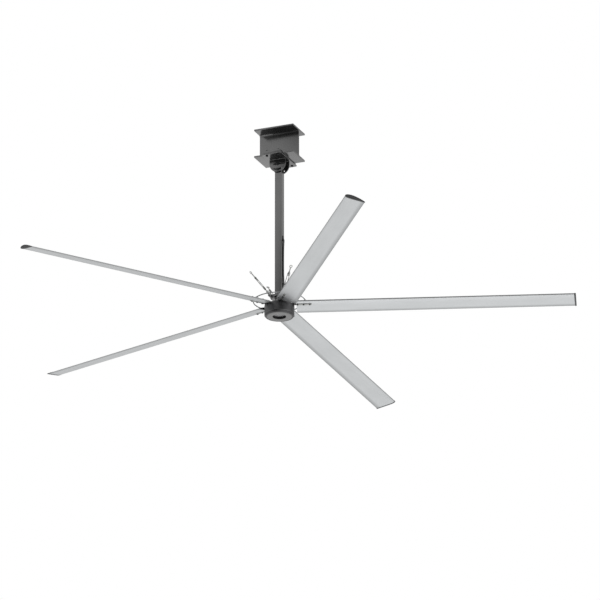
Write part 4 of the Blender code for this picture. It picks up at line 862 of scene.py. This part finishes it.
def flange_shape():
    """The shaft with its neck and flange, and the four studs that hold the base plate."""
    step, end = RECESS_TOP + COVER_PLATE + SHAFT_STEP, RECESS_TOP + COVER_PLATE + SEAT
    collar = UPPER_SEAT + SEAT
    shaft = turned([
        (SHAFT_BORE, end), (SHAFT_END, end), (SHAFT_END, step), (SHAFT_RADIUS, step),
        (SHAFT_RADIUS, UPPER_SEAT_END), (SHAFT_SEAT, UPPER_SEAT_END), (SHAFT_SEAT, collar),
        (SHAFT_NECK, collar), (SHAFT_NECK, FLANGE_BOTTOM), (FLANGE_RADIUS, FLANGE_BOTTOM),
        (FLANGE_RADIUS, FLANGE_TOP), (SHAFT_BORE, FLANGE_TOP),
    ], [0, 0, 0, 0, 0, 0, 0, 0, 0.006, 0.0015, 0.0015, 0.001], 5, 96)
    seat = BASE_TOP + SEAT
    end = seat + STUD_RADIUS * HEAD_HEIGHT + STUD_BEYOND
    stud = joined([nut(STUD_RADIUS, seat, STUD_WASHER, HEAD_HEIGHT),
                   threaded(STUD_RADIUS, FLANGE_TOP - 0.001, end, FINE_PITCH, FINE_DEPTH)])
    studs = [placed(stud, turn("Z", quarter * pi / 2) @ shift(x=STUD_CIRCLE)) for quarter in range(4)]
    return placed(joined([shaft, *studs]), HUB)


def drum_shape(sizes):
    """The drum's wall and top: rounded rim, a bead low on the side and a groove above the cover."""
    waist, groove, cavity = (DRUM_RADIUS - depth for depth in (BEAD_DEPTH, GROOVE_DEPTH, DRUM_WALL))
    rim, ceiling, boss = DRUM_BOTTOM + SEAT, DRUM_TOP - DRUM_TOP_WALL, UPPER_BEARING + BEARING_WALL
    lip = UPPER_BEARING - BEARING_LIP
    corners = [
        (lip, DRUM_TOP), (DRUM_RADIUS, DRUM_TOP), (DRUM_RADIUS, BEAD_Z), (waist, BEAD_Z - BEAD_HEIGHT),
        (waist, rim + GROOVE_HEIGHT), (groove, rim + GROOVE_HEIGHT), (groove, rim), (cavity, rim),
        (cavity, ceiling), (boss, ceiling), (boss, UPPER_SEAT_END), (UPPER_BEARING, UPPER_SEAT_END),
        (UPPER_BEARING, UPPER_SEAT), (lip, UPPER_SEAT),
    ]
    radii = [0.0005, sizes.drum_rounding, 0.0008, 0.0006, 0.0005, 0, 0, 0, 0.003, 0.003, 0.001, 0, 0, 0]
    return placed(turned(corners, radii, 6, 144), HUB)


def cover_rim_shape():
    """The dark cast cover, darker than the drum: its own dark paint plus painted shade on its chamfer and the
    well's wall. It has a chamfered rim, a shallow seat for the face plate, and a round well.
    """
    cavity, inside = DRUM_RADIUS - DRUM_WALL - SEAT, DRUM_BOTTOM + 0.005
    seat, face, disc = RECESS_TOP + COVER_PLATE, COVER_BOTTOM + FACE_THICKNESS, RECESS_TOP + DISC_THICKNESS
    boss, high = LOWER_BEARING + BEARING_WALL, seat + LOWER_BEARING_WIDTH
    corners = [
        (0, disc), (DISC_RADIUS, disc), (DISC_RADIUS, RECESS_TOP), (RECESS_RADIUS, RECESS_TOP),
        (RECESS_RADIUS, COVER_BOTTOM), (FACE_INNER, COVER_BOTTOM), (FACE_INNER, face), (FACE_OUTER, face),
        (FACE_OUTER, COVER_BOTTOM), (DRUM_RADIUS - COVER_CHAMFER, COVER_BOTTOM), (DRUM_RADIUS, DRUM_BOTTOM),
        (cavity, DRUM_BOTTOM), (cavity, inside), (WELL_OUTSIDE, inside), (WELL_OUTSIDE, seat),
        (boss, seat), (boss, high), (LOWER_BEARING, high), (LOWER_BEARING, seat), (0, seat),
    ]
    radii = [0, 0, 0, 0.003, 0.0008, 0, 0, 0, 0, 0.002, 0.001, 0, 0, 0.002, 0, 0, 0, 0, 0, 0]
    return placed(turned(corners, radii, 6, 144), HUB)


def face_plate_shape():
    """A flat ring let into the cover, with eight countersunk screws."""
    top, low = COVER_BOTTOM + FACE_THICKNESS - SEAT / 3, COVER_BOTTOM
    inner, outer = FACE_INNER + SEAT / 3, FACE_OUTER - SEAT / 3
    ring = [(inner, low), (outer, low), (outer, top), (inner, top)]
    head = [(0, 0.003), (0.0052, 0.003), (0.0052, 0.0), (0.0030, -0.0002), (0.0030, 0.0012), (0, 0.0012)]
    screw = turned(head, [0, 0, 0.0006, 0.0003, 0, 0], 3, 28)
    at = shift(FACE_SCREW_REACH, 0, COVER_BOTTOM + 0.0002)
    screws = [placed(screw, turn("Z", 2 * pi * (index + 0.5) / 8) @ at) for index in range(8)]
    return placed(joined([turned(ring, 0.0004, 3, 144), *screws]), HUB)


def well_disc_shape():
    """A thin round plate let into the well's ceiling."""
    low, top, edge = RECESS_TOP, RECESS_TOP + DISC_THICKNESS - SEAT / 3, DISC_RADIUS - SEAT / 3
    return placed(turned([(0, low), (edge, low), (edge, top), (0, top)], [0, 0.0004, 0, 0], 3, 120), HUB)


# Carrier, blades and what holds them


def camber_at(share):
    """Two parabolas along the chord that meet at the highest point of the middle line."""
    peak, rest = CAMBER_SHARE, 1 - CAMBER_SHARE
    front = (2 * peak * share - share ** 2) / peak ** 2
    back = (1 - 2 * peak + 2 * peak * share - share ** 2) / rest ** 2
    return BLADE_CAMBER * np.where(share < peak, front, back)


def half_thickness_at(share):
    """Five times the thickness times a polynomial of the share of the chord, with a blunt tail added."""
    shape = 0.2969 * np.sqrt(share) - 0.1260 * share - 0.3516 * share ** 2
    shape = shape + 0.2843 * share ** 3 - 0.1036 * share ** 4
    return 5 * BLADE_THICKNESS * shape + TAIL_WALL / 2 * share


def blade_outline(proud=0.0):
    """Camber plus and minus half the thickness, closer together near the nose and the tail."""
    shares = (1 - np.cos(np.linspace(0, pi, BLADE_STEPS + 1))) / 2
    across = (shares - SPAR_SHARE) * CHORD * (1 + 2 * proud / CHORD)
    middle, half = camber_at(shares), half_thickness_at(shares) + proud
    top = np.column_stack([across, middle + half])[::-1]
    low = np.column_stack([across, middle - half])[1:]
    return np.vstack([top, low])


def cell_outline(start, end):
    """One hollow of the extrusion, a wall inside the outline, with rounded corners."""
    shares = np.linspace(start, end, 13)
    across = (shares - SPAR_SHARE) * CHORD
    middle, half = camber_at(shares), half_thickness_at(shares) - BLADE_WALL
    top = np.column_stack([across, middle + half])
    low = np.column_stack([across, middle - half])
    corners = np.vstack([low, top[::-1]])
    radii = np.zeros(len(corners))
    radii[[0, 12, 13, 25]] = 0.002
    return softened(corners, radii, 4)


def strip_face(side):
    """Where a flat strip first meets the blade's upper or lower surface."""
    shares = SPAR_SHARE + STRIP_WIDTH / 2 / CHORD * np.linspace(-1, 1, 5)
    return float(side * np.max(side * camber_at(shares) + half_thickness_at(shares)))


def blade_shape():
    """The outline and its three hollows drawn out along the blade."""
    tip = FAN_RADIUS - CAP_THICKNESS - SEAT
    whole = prism(blade_outline(), BLADE_ROOT, tip, holes=[cell_outline(*cell) for cell in CELLS])
    return placed(whole, ALONG_X, keep_local=False)


def cap_shape():
    """A moulded end with a skirt round the blade, a face set back inside its rim, and two screws."""
    joint, face = FAN_RADIUS - CAP_THICKNESS, FAN_RADIUS - CAP_SETBACK
    outline = blade_outline(CAP_PROUD)
    shapes = [prism(outline, joint, face, 0.0004),
              prism(outline, joint - CAP_SKIRT, joint + 0.0005, 0.0003, [blade_outline(SEAT)]),
              prism(outline, face - 0.0006, FAN_RADIUS, 0.0006, [inset(outline, CAP_RIM)]),
              prism(inset(cell_outline(*CELLS[1]), SEAT), joint - CAP_PLUG, joint + 0.001)]
    dome = revolved([(0, -0.001), (0.0034, -0.001), (0.0034, 0.0006), (0.0020, 0.0013), (0, 0.0013)], 28)
    for share in CAP_SCREWS:
        shapes.append(placed(dome, shift((share - SPAR_SHARE) * CHORD, float(camber_at(share)), face)))
    return placed(joined(shapes), ALONG_X)


def carrier_shape():
    """A hub ring whose five flat arms twist smoothly into the blades' pitch, with a bolt at each root."""
    top, middle = CARRIER_BOTTOM + CARRIER_THICKNESS, CARRIER_BOTTOM + CARRIER_THICKNESS / 2
    ring = [(CARRIER_BORE, CARRIER_BOTTOM), (CARRIER_RADIUS, CARRIER_BOTTOM), (CARRIER_RADIUS, top),
            (CARRIER_BORE, top)]
    reach = np.concatenate([[ARM_ROOT], np.linspace(ARM_FLAT_END, ARM_TWIST_END, 13), [ARM_TIP]])[:, None]
    share = np.clip((reach - ARM_FLAT_END) / (ARM_TWIST_END - ARM_FLAT_END), 0, 1)
    share = share * share * (3 - 2 * share)
    high = float(camber_at(SPAR_SHARE)) * cos(BLADE_PITCH) + SPAR_Z
    angle = -BLADE_PITCH * share
    section = rectangle(1.0, 1.0, 0.12)
    across = section[:, 0] * ARM_WIDTH
    up = section[:, 1] * (CARRIER_THICKNESS + (ARM_THICKNESS - CARRIER_THICKNESS) * share)
    arm = skinned(np.stack([
        reach + 0 * up,
        across * np.cos(angle) - up * np.sin(angle),
        across * np.sin(angle) + up * np.cos(angle) + middle + (high - middle) * share,
    ], axis=-1))
    radius = CARRIER_BOLT_RADIUS
    head = joined([washer(radius, radius * 1.8, top, 0.0012),
                   hexagon(radius * HEAD_FLAT, top + 0.001, top + radius, low=False)])
    armed = joined([arm, placed(head, shift(x=CARRIER_BOLT_REACH))])
    hub = placed(turned(ring, 0.0012, 4, 120), HUB)
    return joined([hub] + [placed(armed, arm_place(index)) for index in range(BLADES)])


def strip_shape(base):
    """A flat strip with rounded corners and a hole at each bolt."""
    middle = (STRIP_START + STRIP_END) / 2
    strip = rectangle(STRIP_END - STRIP_START, STRIP_WIDTH, STRIP_THICKNESS, 6, (middle, 0))
    holes = [circle(BLADE_BOLT_RADIUS + SEAT, 28, (reach, 0)) for reach in BLADE_BOLTS]
    return prism(strip, base, base + STRIP_THICKNESS, 0.0009, holes)


def at_each_bolt(shape):
    """A part repeated at the three bolts along the spar."""
    return joined([placed(shape, shift(x=reach)) for reach in BLADE_BOLTS])


def blade_bolts_shape():
    """Three bolts up through the strip, blade and arm."""
    radius, below = BLADE_BOLT_RADIUS, strip_face(-1) - SEAT - STRIP_THICKNESS
    end = strip_face(1) + SEAT + STRIP_THICKNESS + radius * HEAD_HEIGHT + 0.002
    return at_each_bolt(fastener(radius, below + SEAT / 3, end, 0, nutted=False))


def upper_strip_shape():
    """A plate above the blade, and the block that the safety ring lies on."""
    base = strip_face(1) + SEAT
    side = SADDLE_WIDTH / 2 * sin(BLADE_PITCH)
    saddle_top = (RING_Z - RING_WIRE - SEAT - SPAR_Z - side) / cos(BLADE_PITCH)
    saddle = rectangle(SADDLE_LENGTH, SADDLE_WIDTH, 0.0012, centre=(RING_CROSSING, 0))
    return joined([strip_shape(base), prism(saddle, base + STRIP_THICKNESS - 0.001, saddle_top, 0.0006)])


def blade_nuts_shape():
    """A washer and a nut on each of the three bolts."""
    seat = strip_face(1) + SEAT + STRIP_THICKNESS
    return at_each_bolt(nut(BLADE_BOLT_RADIUS, seat, 0.0009, HEAD_HEIGHT, 1.03))


def clip_shape():
    """A strap bent over the rope and down both sides of the saddle."""
    inner = RING_WIRE + CLIP_GAP
    outer = inner + CLIP_THICKNESS
    outline = np.vstack([arc(outer, 0, pi, 24), [(-outer, CLIP_FOOT), (-inner, CLIP_FOOT)],
                         arc(inner, pi, 0, 24), [(inner, CLIP_FOOT), (outer, CLIP_FOOT)]])
    across = turn("Z", asin(SPAR_Y / RING_RADIUS))
    strap = prism(outline, -CLIP_WIDTH / 2, CLIP_WIDTH / 2, 0.0004)
    return placed(strap, shift(RING_CROSSING, 0, RING_Z) @ across @ ALONG_Y)


def ringed(path, radius, sides):
    """A round wire carried once round a level ring."""
    return carried(path, circle(radius, sides), ring=True, side=(0, 0, 1))


def rope_shape(sizes):
    """Strands round a core: each is a tube whose middle turns about the ring's own line once a lay."""
    turns = round(2 * pi * RING_RADIUS / sizes.rope_lay)
    steps, strand = turns * 14, RING_WIRE / 3.05
    offset = RING_WIRE - strand
    around = np.linspace(0, 2 * pi, steps, endpoint=False)
    shapes = []
    for index in range(sizes.rope_strands):
        lay = turns * around + 2 * pi * index / sizes.rope_strands
        reach = RING_RADIUS + offset * np.cos(lay)
        path = np.column_stack([reach * np.cos(around), reach * np.sin(around), offset * np.sin(lay)])
        shapes.append(ringed(path, strand, 9))
    shapes.append(ringed(level_ring(RING_RADIUS, steps), offset * 0.72, 8))
    return placed(joined(shapes), HUB @ shift(z=RING_Z))


# Turnbuckles, each along X of its own frame with its pin along Y


def jaw_shape():
    """Two cheeks and a bridge, a pin with a head and a split ring, and the lower screw."""
    half, back = JAW_WIDTH / 2, JAW_DEPTH + JAW_BRIDGE
    gap = LUG_THICKNESS / 2 + PLAY
    wide, pin_end = gap + JAW_CHEEK, gap + JAW_CHEEK + PIN_BEYOND
    cheek = np.vstack([arc(half, pi / 2, 3 * pi / 2, 24), [(back, -half * 0.8), (back, half * 0.8)]])
    shapes = [placed(prism(cheek, low, low + JAW_CHEEK, 0.0009), ALONG_Y) for low in (-wide, gap)]
    bridge = prism(rectangle(2 * wide, JAW_WIDTH * 0.86, 0.002), JAW_DEPTH, back + 0.001, 0.001)
    shapes.append(placed(bridge, ALONG_X))
    pin = turned([(0, -pin_end), (JAW_PIN_RADIUS * 1.5, -pin_end), (JAW_PIN_RADIUS * 1.5, -wide),
                  (JAW_PIN_RADIUS, -wide), (JAW_PIN_RADIUS, pin_end), (0, pin_end)],
                 [0, 0.0008, 0.0004, 0, 0.0006, 0], 3, 32)
    shapes.append(placed(pin, ALONG_Y))
    ring = ringed(level_ring(JAW_PIN_RADIUS * 1.25, 20), SPLIT_RING_WIRE, 8)
    shapes.append(placed(ring, shift(y=-wide - 0.0014) @ ALONG_Y))
    neck_end = back + FORK_NECK
    neck = turned([(0, back - 0.001), (FORK_NECK_RADIUS, back - 0.001), (SCREW_RADIUS, neck_end - 0.003),
                   (SCREW_RADIUS, neck_end), (0, neck_end)], [0, 0.001, 0.003, 0, 0], 5, 32)
    end = BODY_START + SCREW_REACH + BOSS_LENGTH / 2
    screw = threaded(SCREW_RADIUS, neck_end - 0.001, end, FINE_PITCH, FINE_DEPTH)
    return joined(shapes + [placed(joined([neck, screw]), turn("Y", pi / 2))])


def body_shape():
    """Two bosses with softened ends, joined by a pair of side rods."""
    end, inner = BODY_START + BODY_LENGTH, SCREW_RADIUS + BOSS_CLEARANCE
    shapes = []
    for low in (BODY_START, end - BOSS_LENGTH):
        high = low + BOSS_LENGTH
        ring = [(inner, low), (BOSS_RADIUS, low), (BOSS_RADIUS, high), (inner, high)]
        shapes.append(turned(ring, [0.0004, 0.0022, 0.0022, 0.0004], 5, 48))
    run = np.linspace(BODY_START + BOSS_LENGTH / 2, end - BOSS_LENGTH / 2, 40)
    swell = SIDE_ROD_RADIUS * (1 + 0.25 * np.cos(np.linspace(0, 2 * pi, 40)) ** 8)
    for side in (-1, 1):
        path = np.column_stack([np.full(40, side * SIDE_ROD_SPACING / 2), np.zeros(40), run])
        shapes.append(carried(path, circle(1.0, 20)[None] * swell[:, None, None]))
    return placed(joined(shapes), ALONG_X)


def eye_shape():
    """The outer screw, drawn into a round eye."""
    start, stop = BODY_START + BODY_LENGTH - SCREW_REACH - BOSS_LENGTH / 2, EYE_DISTANCE - EYE_RADIUS
    slim, neck_start = SCREW_RADIUS * 0.93, stop - EYE_NECK
    neck = turned([(0, neck_start), (slim, neck_start), (slim, stop - 0.004),
                   (EYE_WIRE, stop + 0.001), (0, stop + 0.001)], [0, 0.0005, 0.003, 0.0005, 0], 5, 28)
    screw = threaded(SCREW_RADIUS, start, neck_start + 0.0005, FINE_PITCH, FINE_DEPTH)
    eye = placed(ringed(level_ring(EYE_RADIUS, 48), EYE_WIRE, 20), shift(x=EYE_DISTANCE))
    return joined([eye, placed(joined([screw, neck]), turn("Y", pi / 2))])


# Operators, one for each piece or group of like pieces


class FanOperator(bpy.types.Operator):
    bl_options = {"REGISTER", "UNDO"}

    def execute(self, context):
        self.build(context.scene.fan_sizes)
        return {"FINISHED"}


class FAN_OT_studio(bpy.types.Operator):
    """A pale floor, soft light from all round and below, and the camera at the photograph's angle"""
    bl_idname, bl_label = "fan.studio", "Studio"

    def execute(self, context):
        scene, settings = context.scene, context.scene.fan_studio
        make_camera(scene, settings)
        make_floor(settings)
        make_lights(scene, settings)
        return {"FINISHED"}


class FAN_OT_cable(FanOperator):
    """The motor cable and its two grommets"""
    bl_idname, bl_label = "fan.cable", "Motor cable"

    def build(self, sizes):
        points = smooth_route(cable_route(), CABLE_POINT_STEP)
        curve = bpy.data.curves.new("power_cable", "CURVE")
        curve.dimensions = "3D"
        curve.bevel_depth, curve.bevel_resolution, curve.use_fill_caps = CABLE_RADIUS, 6, True
        spline = curve.splines.new("POLY")
        spline.points.add(len(points) - 1)
        spline.points.foreach_set("co", np.column_stack([points, np.ones(len(points))]).ravel())
        curve.materials.append(finish("black_pvc_jacket"))
        cable = bpy.data.objects.new("power_cable", curve)
        bpy.context.scene.collection.objects.link(cable)
        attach(cable, "hanger")
        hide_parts("motor_cable")
        for name, height in (("lower", CABLE_OUT), ("upper", CABLE_IN)):
            place = HUB @ shift(y=CABLE_ACROSS, z=height) @ ALONG_X
            add_piece(f"oval_grommet_{name}", placed(grommet_shape(), place), "moulded_black_rubber",
                      "hanger", f"cable_grommet_{name}")


class FAN_OT_beam(FanOperator):
    """The short H beam"""
    bl_idname, bl_label = "fan.beam", "Beam"

    def build(self, sizes):
        add_piece("rolled_beam", beam_shape(), "grey_powder_coat", "root", "beam_stub")


class FAN_OT_hanger(FanOperator):
    """The slotted bracket, its two clamps and the bolts through them"""
    bl_idname, bl_label = "fan.hanger", "Hanger"

    def build(self, sizes):
        paint, black = "grey_powder_coat", "black_oxide_steel"
        add_piece("slotted_bracket", hanger_shape(sizes), paint, "root", "hanger_bracket")
        for name, angle in (("far", 0), ("near", pi)):
            bar = placed(clamp_shape(), turn("Z", angle))
            add_piece(f"stepped_clamp_{name}", bar, paint, "root", f"beam_clamp_{name}")
        low = BRACKET_BOTTOM - SEAT
        high = -BEAM_HEIGHT + BEAM_FLANGE + CLAMP_THICKNESS + 2 * SEAT
        bolt = fastener(CLAMP_BOLT_RADIUS, low, high, CLAMP_BOLT_RADIUS * HEAD_HEIGHT + CLAMP_BOLT_BEYOND)
        places = [(sx * CLAMP_BOLT_X, sy * CLAMP_BOLT_Y) for sx in (-1, 1) for sy in (-1, 1)]
        for number, (x, y) in enumerate(places, 1):
            add_piece(f"clamp_fastener_{number}", placed(bolt, shift(x, y)), black, "root",
                      f"clamp_bolt_{number}")
        outside = EAR_SPACING / 2 + EAR_THICKNESS / 2 + SEAT
        for name, radius, drop, body in (("pivot", PIVOT_BOLT_RADIUS, 0, "root"),
                                         ("lock", LOCK_BOLT_RADIUS, SLOT_RADIUS, "hanger")):
            bolt = fastener(radius, -outside, outside, radius * 1.6 + CROSS_BOLT_BEYOND)
            place = HANGER @ shift(z=-drop) @ turn("X", -pi / 2)
            add_piece(f"{name}_fastener", placed(bolt, place), black, body, f"{name}_bolt", f"{name}_nut")


class FAN_OT_downrod(FanOperator):
    """The square downrod with its base plate and lugs"""
    bl_idname, bl_label = "fan.downrod", "Downrod"

    def build(self, sizes):
        add_piece("square_downrod", downrod_shape(sizes), "grey_powder_coat", "hanger", "downrod")


class FAN_OT_motor(FanOperator):
    """The motor's flange, drum and cover, and the finishes of what is inside"""
    bl_idname, bl_label = "fan.motor", "Motor"

    def build(self, sizes):
        add_piece("shaft_flange", flange_shape(), "grey_powder_coat", "hanger", "motor_shaft")
        add_piece("motor_drum", drum_shape(sizes), "dark_cast_paint", "rotor", "rotor_housing")
        # The cover rim takes the darker cast paint: painted shade on its chamfer and well wall
        for name, shape, look in (("cover_rim", cover_rim_shape(), "darker_cast_paint"),
                                  ("face_plate", face_plate_shape(), "grey_powder_coat"),
                                  ("well_disc", well_disc_shape(), "pale_matt_paint")):
            add_piece(name, shape, look, "rotor", "lower_cover")
        for look, names in (("laminated_core_steel", ("stator_core", "magnet_ring")),
                            ("enamelled_copper_wire", ("winding_lower", "winding_upper")),
                            ("ground_bearing_steel", ("bearing_lower", "bearing_upper"))):
            for name in names:
                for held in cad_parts[name].material_slots:
                    held.material = finish(look)


class FAN_OT_carrier(FanOperator):
    """The ring and five arms that carry the blades"""
    bl_idname, bl_label = "fan.carrier", "Blade carrier"

    def build(self, sizes):
        add_piece("arm_carrier", carrier_shape(), "black_oxide_steel", "rotor", "blade_carrier")


class FAN_OT_blades(FanOperator):
    """The five extruded blades and their end caps"""
    bl_idname, bl_label = "fan.blades", "Blades"

    def build(self, sizes):
        satin, nylon = "satin_anodised_aluminium", "moulded_nylon"
        for name, shape, look, kind in (("extruded_blade", blade_shape(), satin, "blade"),
                                        ("moulded_cap", cap_shape(), nylon, "blade_cap")):
            for index in range(BLADES):
                add_piece(f"{name}_{index + 1}", placed(shape, blade_place(index)), look, "rotor",
                          f"{kind}_{index + 1}")


class FAN_OT_strips(FanOperator):
    """The strips above and below each blade root, with their bolts and nuts"""
    bl_idname, bl_label = "fan.strips", "Blade strips"

    def build(self, sizes):
        zinc, black = "dull_zinc_plate", "black_oxide_steel"
        lower = strip_shape(strip_face(-1) - SEAT - STRIP_THICKNESS)
        upper, clip = upper_strip_shape(), clip_shape()
        bolts, nuts = blade_bolts_shape(), blade_nuts_shape()
        for index in range(BLADES):
            place = blade_place(index)
            above = joined([placed(upper, place), placed(clip, arm_place(index))])
            for name, shape, look, kind in (("lower_strip", placed(lower, place), zinc, "bolt_strip"),
                                            ("blade_bolts", placed(bolts, place), black, "bolt_strip"),
                                            ("upper_strip", above, zinc, "nut_strip"),
                                            ("blade_nuts", placed(nuts, place), black, "nut_strip")):
                add_piece(f"{name}_{index + 1}", shape, look, "rotor", f"{kind}_{index + 1}")


class FAN_OT_rope(FanOperator):
    """The ring of wire rope above the blade roots"""
    bl_idname, bl_label = "fan.rope", "Safety ring"

    def build(self, sizes):
        add_piece("rope_ring", rope_shape(sizes), "galvanised_wire_rope", "rotor", "safety_ring")


class FAN_OT_turnbuckles(FanOperator):
    """Four turnbuckles, each of a fork, a body and an eye"""
    bl_idname, bl_label = "fan.turnbuckles", "Turnbuckles"

    def build(self, sizes):
        # The bodies take the darker zinc as painted shade on their bosses; the forks and eyes take the bright
        # zinc
        for name, shape, kind, look in (("fork_screw", jaw_shape(), "jaw", "bright_zinc_plate"),
                                        ("open_body", body_shape(), "body", "dull_zinc_plate"),
                                        ("eye_screw", eye_shape(), "eye", "bright_zinc_plate")):
            for index in range(4):
                add_piece(f"{name}_{index + 1}", placed(shape, turnbuckle_place(index)), look,
                          f"{kind}_{index + 1}", f"turnbuckle_{kind}_{index + 1}")


# The studio

VIEW_AZIMUTH, VIEW_ELEVATION = radians(23), radians(-21.48)
AIM_RIGHT, AIM_UP = 0.1693, 0.0501
SENSOR_WIDTH, LENS_PER_METRE = 36, 7.302
LENS_NEAR, LENS_FAR = 0.1, 4
KEY_AZIMUTH, KEY_ELEVATION, KEY_DISTANCE = radians(45), radians(-52), 14.0
LOW_SIDE, LOW_FRONT = radians(2), radians(-30)
# Each light of the surround grows over a span, of the height or of how far a direction faces its middle
BELOW_TO_ABOVE, FACING_SPAN = (-0.75, 0.05), (-0.5, 0.3)
FRONT_SPAN, LOW_FRONT_SPAN = (0.68, 0.92), (0.55, 0.88)


def direction(azimuth, elevation):
    """The direction that lies so far round from the front, and so far up from level."""
    return Vector((sin(azimuth) * cos(elevation), -cos(azimuth) * cos(elevation), sin(elevation)))


def add_facing(scene, name, data, place, away):
    """Link a camera or light whose back points away from what it faces."""
    thing = bpy.data.objects.new(name, data)
    scene.collection.objects.link(thing)
    thing.location = place
    thing.rotation_mode = "QUATERNION"
    thing.rotation_quaternion = away.to_track_quat("Z", "Y")
    return thing


def make_camera(scene, settings):
    """A long lens far off, which is nearly a parallel view, aimed a little right of and above the hub."""
    away = direction(VIEW_AZIMUTH, VIEW_ELEVATION)
    right = Vector((cos(VIEW_AZIMUTH), sin(VIEW_AZIMUTH), 0))
    aim = Vector((0, 0, HUB_Z)) + right * AIM_RIGHT + away.cross(right) * AIM_UP
    distance = settings.camera_distance
    data = bpy.data.cameras.new("view")
    data.sensor_width = SENSOR_WIDTH
    data.lens = LENS_PER_METRE * distance
    data.clip_start, data.clip_end = distance * LENS_NEAR, distance * LENS_FAR
    scene.camera = add_facing(scene, "view", data, aim + away * distance, away)


def make_floor(settings):
    """A large square far below the fan."""
    half, level = settings.floor_size / 2, HUB_Z - settings.floor_drop
    mesh = bpy.data.meshes.new("studio_floor")
    corners = [(-half, -half, level), (half, -half, level), (half, half, level), (-half, half, level)]
    mesh.from_pydata(corners, [], [(0, 1, 2, 3)])
    mesh.materials.append(finish("matt_floor_paint"))
    floor = bpy.data.objects.new("studio_floor", mesh)
    bpy.context.scene.collection.objects.link(floor)


def make_lights(scene, settings):
    """Soft light from all round, stronger from below and from the sides, before a plain white surround."""
    scene.view_settings.view_transform = "Standard"
    world = bpy.data.worlds.new("white_surround")
    world.use_nodes = True
    tree = world.node_tree
    looked = node(tree, "TexCoord", output="Generated")
    height = node(tree, "SeparateXYZ", {0: looked}, "Z")
    front, low_front = (
        node(tree, "VectorMath", {0: looked, 1: towards}, "Value", operation="DOT_PRODUCT")
        for towards in (direction(VIEW_AZIMUTH, 0), direction(LOW_SIDE, LOW_FRONT)))
    lit = 1.0
    for amount, low, high, (start, end) in (
            (height, settings.light_below, settings.light_above, BELOW_TO_ABOVE),
            (front, 1.0, settings.light_facing, FACING_SPAN), (front, 1.0, settings.light_front, FRONT_SPAN),
            (low_front, 1.0, settings.light_low_front, LOW_FRONT_SPAN)):
        share = node(tree, "MapRange", {0: amount, 1: start, 2: end, 3: low, 4: high})
        lit = node(tree, "Math", {0: lit, 1: share}, operation="MULTIPLY")
    seen = node(tree, "LightPath", output="Is Camera Ray")
    strength = node(tree, "Mix", {0: seen, 2: lit, 3: settings.surround})
    tree.links.new(strength, tree.nodes["Background"].inputs["Strength"])
    tree.nodes["Background"].inputs["Color"].default_value = (1, 1, 1, 1)
    scene.world = world
    data = bpy.data.lights.new("soft_key", "AREA")
    data.shape, data.size = "DISK", settings.key_size
    data.energy = settings.key_power
    away = direction(KEY_AZIMUTH, KEY_ELEVATION)
    add_facing(scene, "soft_key", data, Vector((0, 0, HUB_Z)) + away * KEY_DISTANCE, away)


PIECES = (FAN_OT_studio, FAN_OT_cable, FAN_OT_beam, FAN_OT_hanger, FAN_OT_downrod, FAN_OT_motor,
          FAN_OT_carrier, FAN_OT_blades, FAN_OT_strips, FAN_OT_rope, FAN_OT_turnbuckles)


class FAN_PT_panel(bpy.types.Panel):
    """Lists the fan's pieces and settings"""
    bl_idname = "FAN_PT_panel"
    bl_label = "High volume low speed fan"
    bl_space_type = "VIEW_3D"
    bl_region_type = "UI"
    bl_category = "Fan"

    def draw(self, context):
        for kind in PIECES:
            self.layout.operator(kind.bl_idname)
        for group in ("fan_sizes", "fan_finishes", "fan_studio"):
            settings = getattr(context.scene, group)
            for key in settings.__annotations__:
                self.layout.prop(settings, key)


CLASSES = (FanSizes, FanFinishes, StudioSettings, *PIECES, FAN_PT_panel)


def register():
    for kind in CLASSES:
        bpy.utils.register_class(kind)
    bpy.types.Scene.fan_sizes = bpy.props.PointerProperty(type=FanSizes)
    bpy.types.Scene.fan_finishes = bpy.props.PointerProperty(type=FanFinishes)
    bpy.types.Scene.fan_studio = bpy.props.PointerProperty(type=StudioSettings)


def unregister():
    for group in ("fan_sizes", "fan_finishes", "fan_studio"):
        delattr(bpy.types.Scene, group)
    for kind in reversed(CLASSES):
        bpy.utils.unregister_class(kind)


def main():
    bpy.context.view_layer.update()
    register()
    for kind in PIECES:
        group, name = kind.bl_idname.split(".")
        done = getattr(getattr(bpy.ops, group), name)()
        if done != {"FINISHED"}:
            raise RuntimeError(f"{kind.bl_label} wasn't made")


if __name__ == "__main__":
    main()
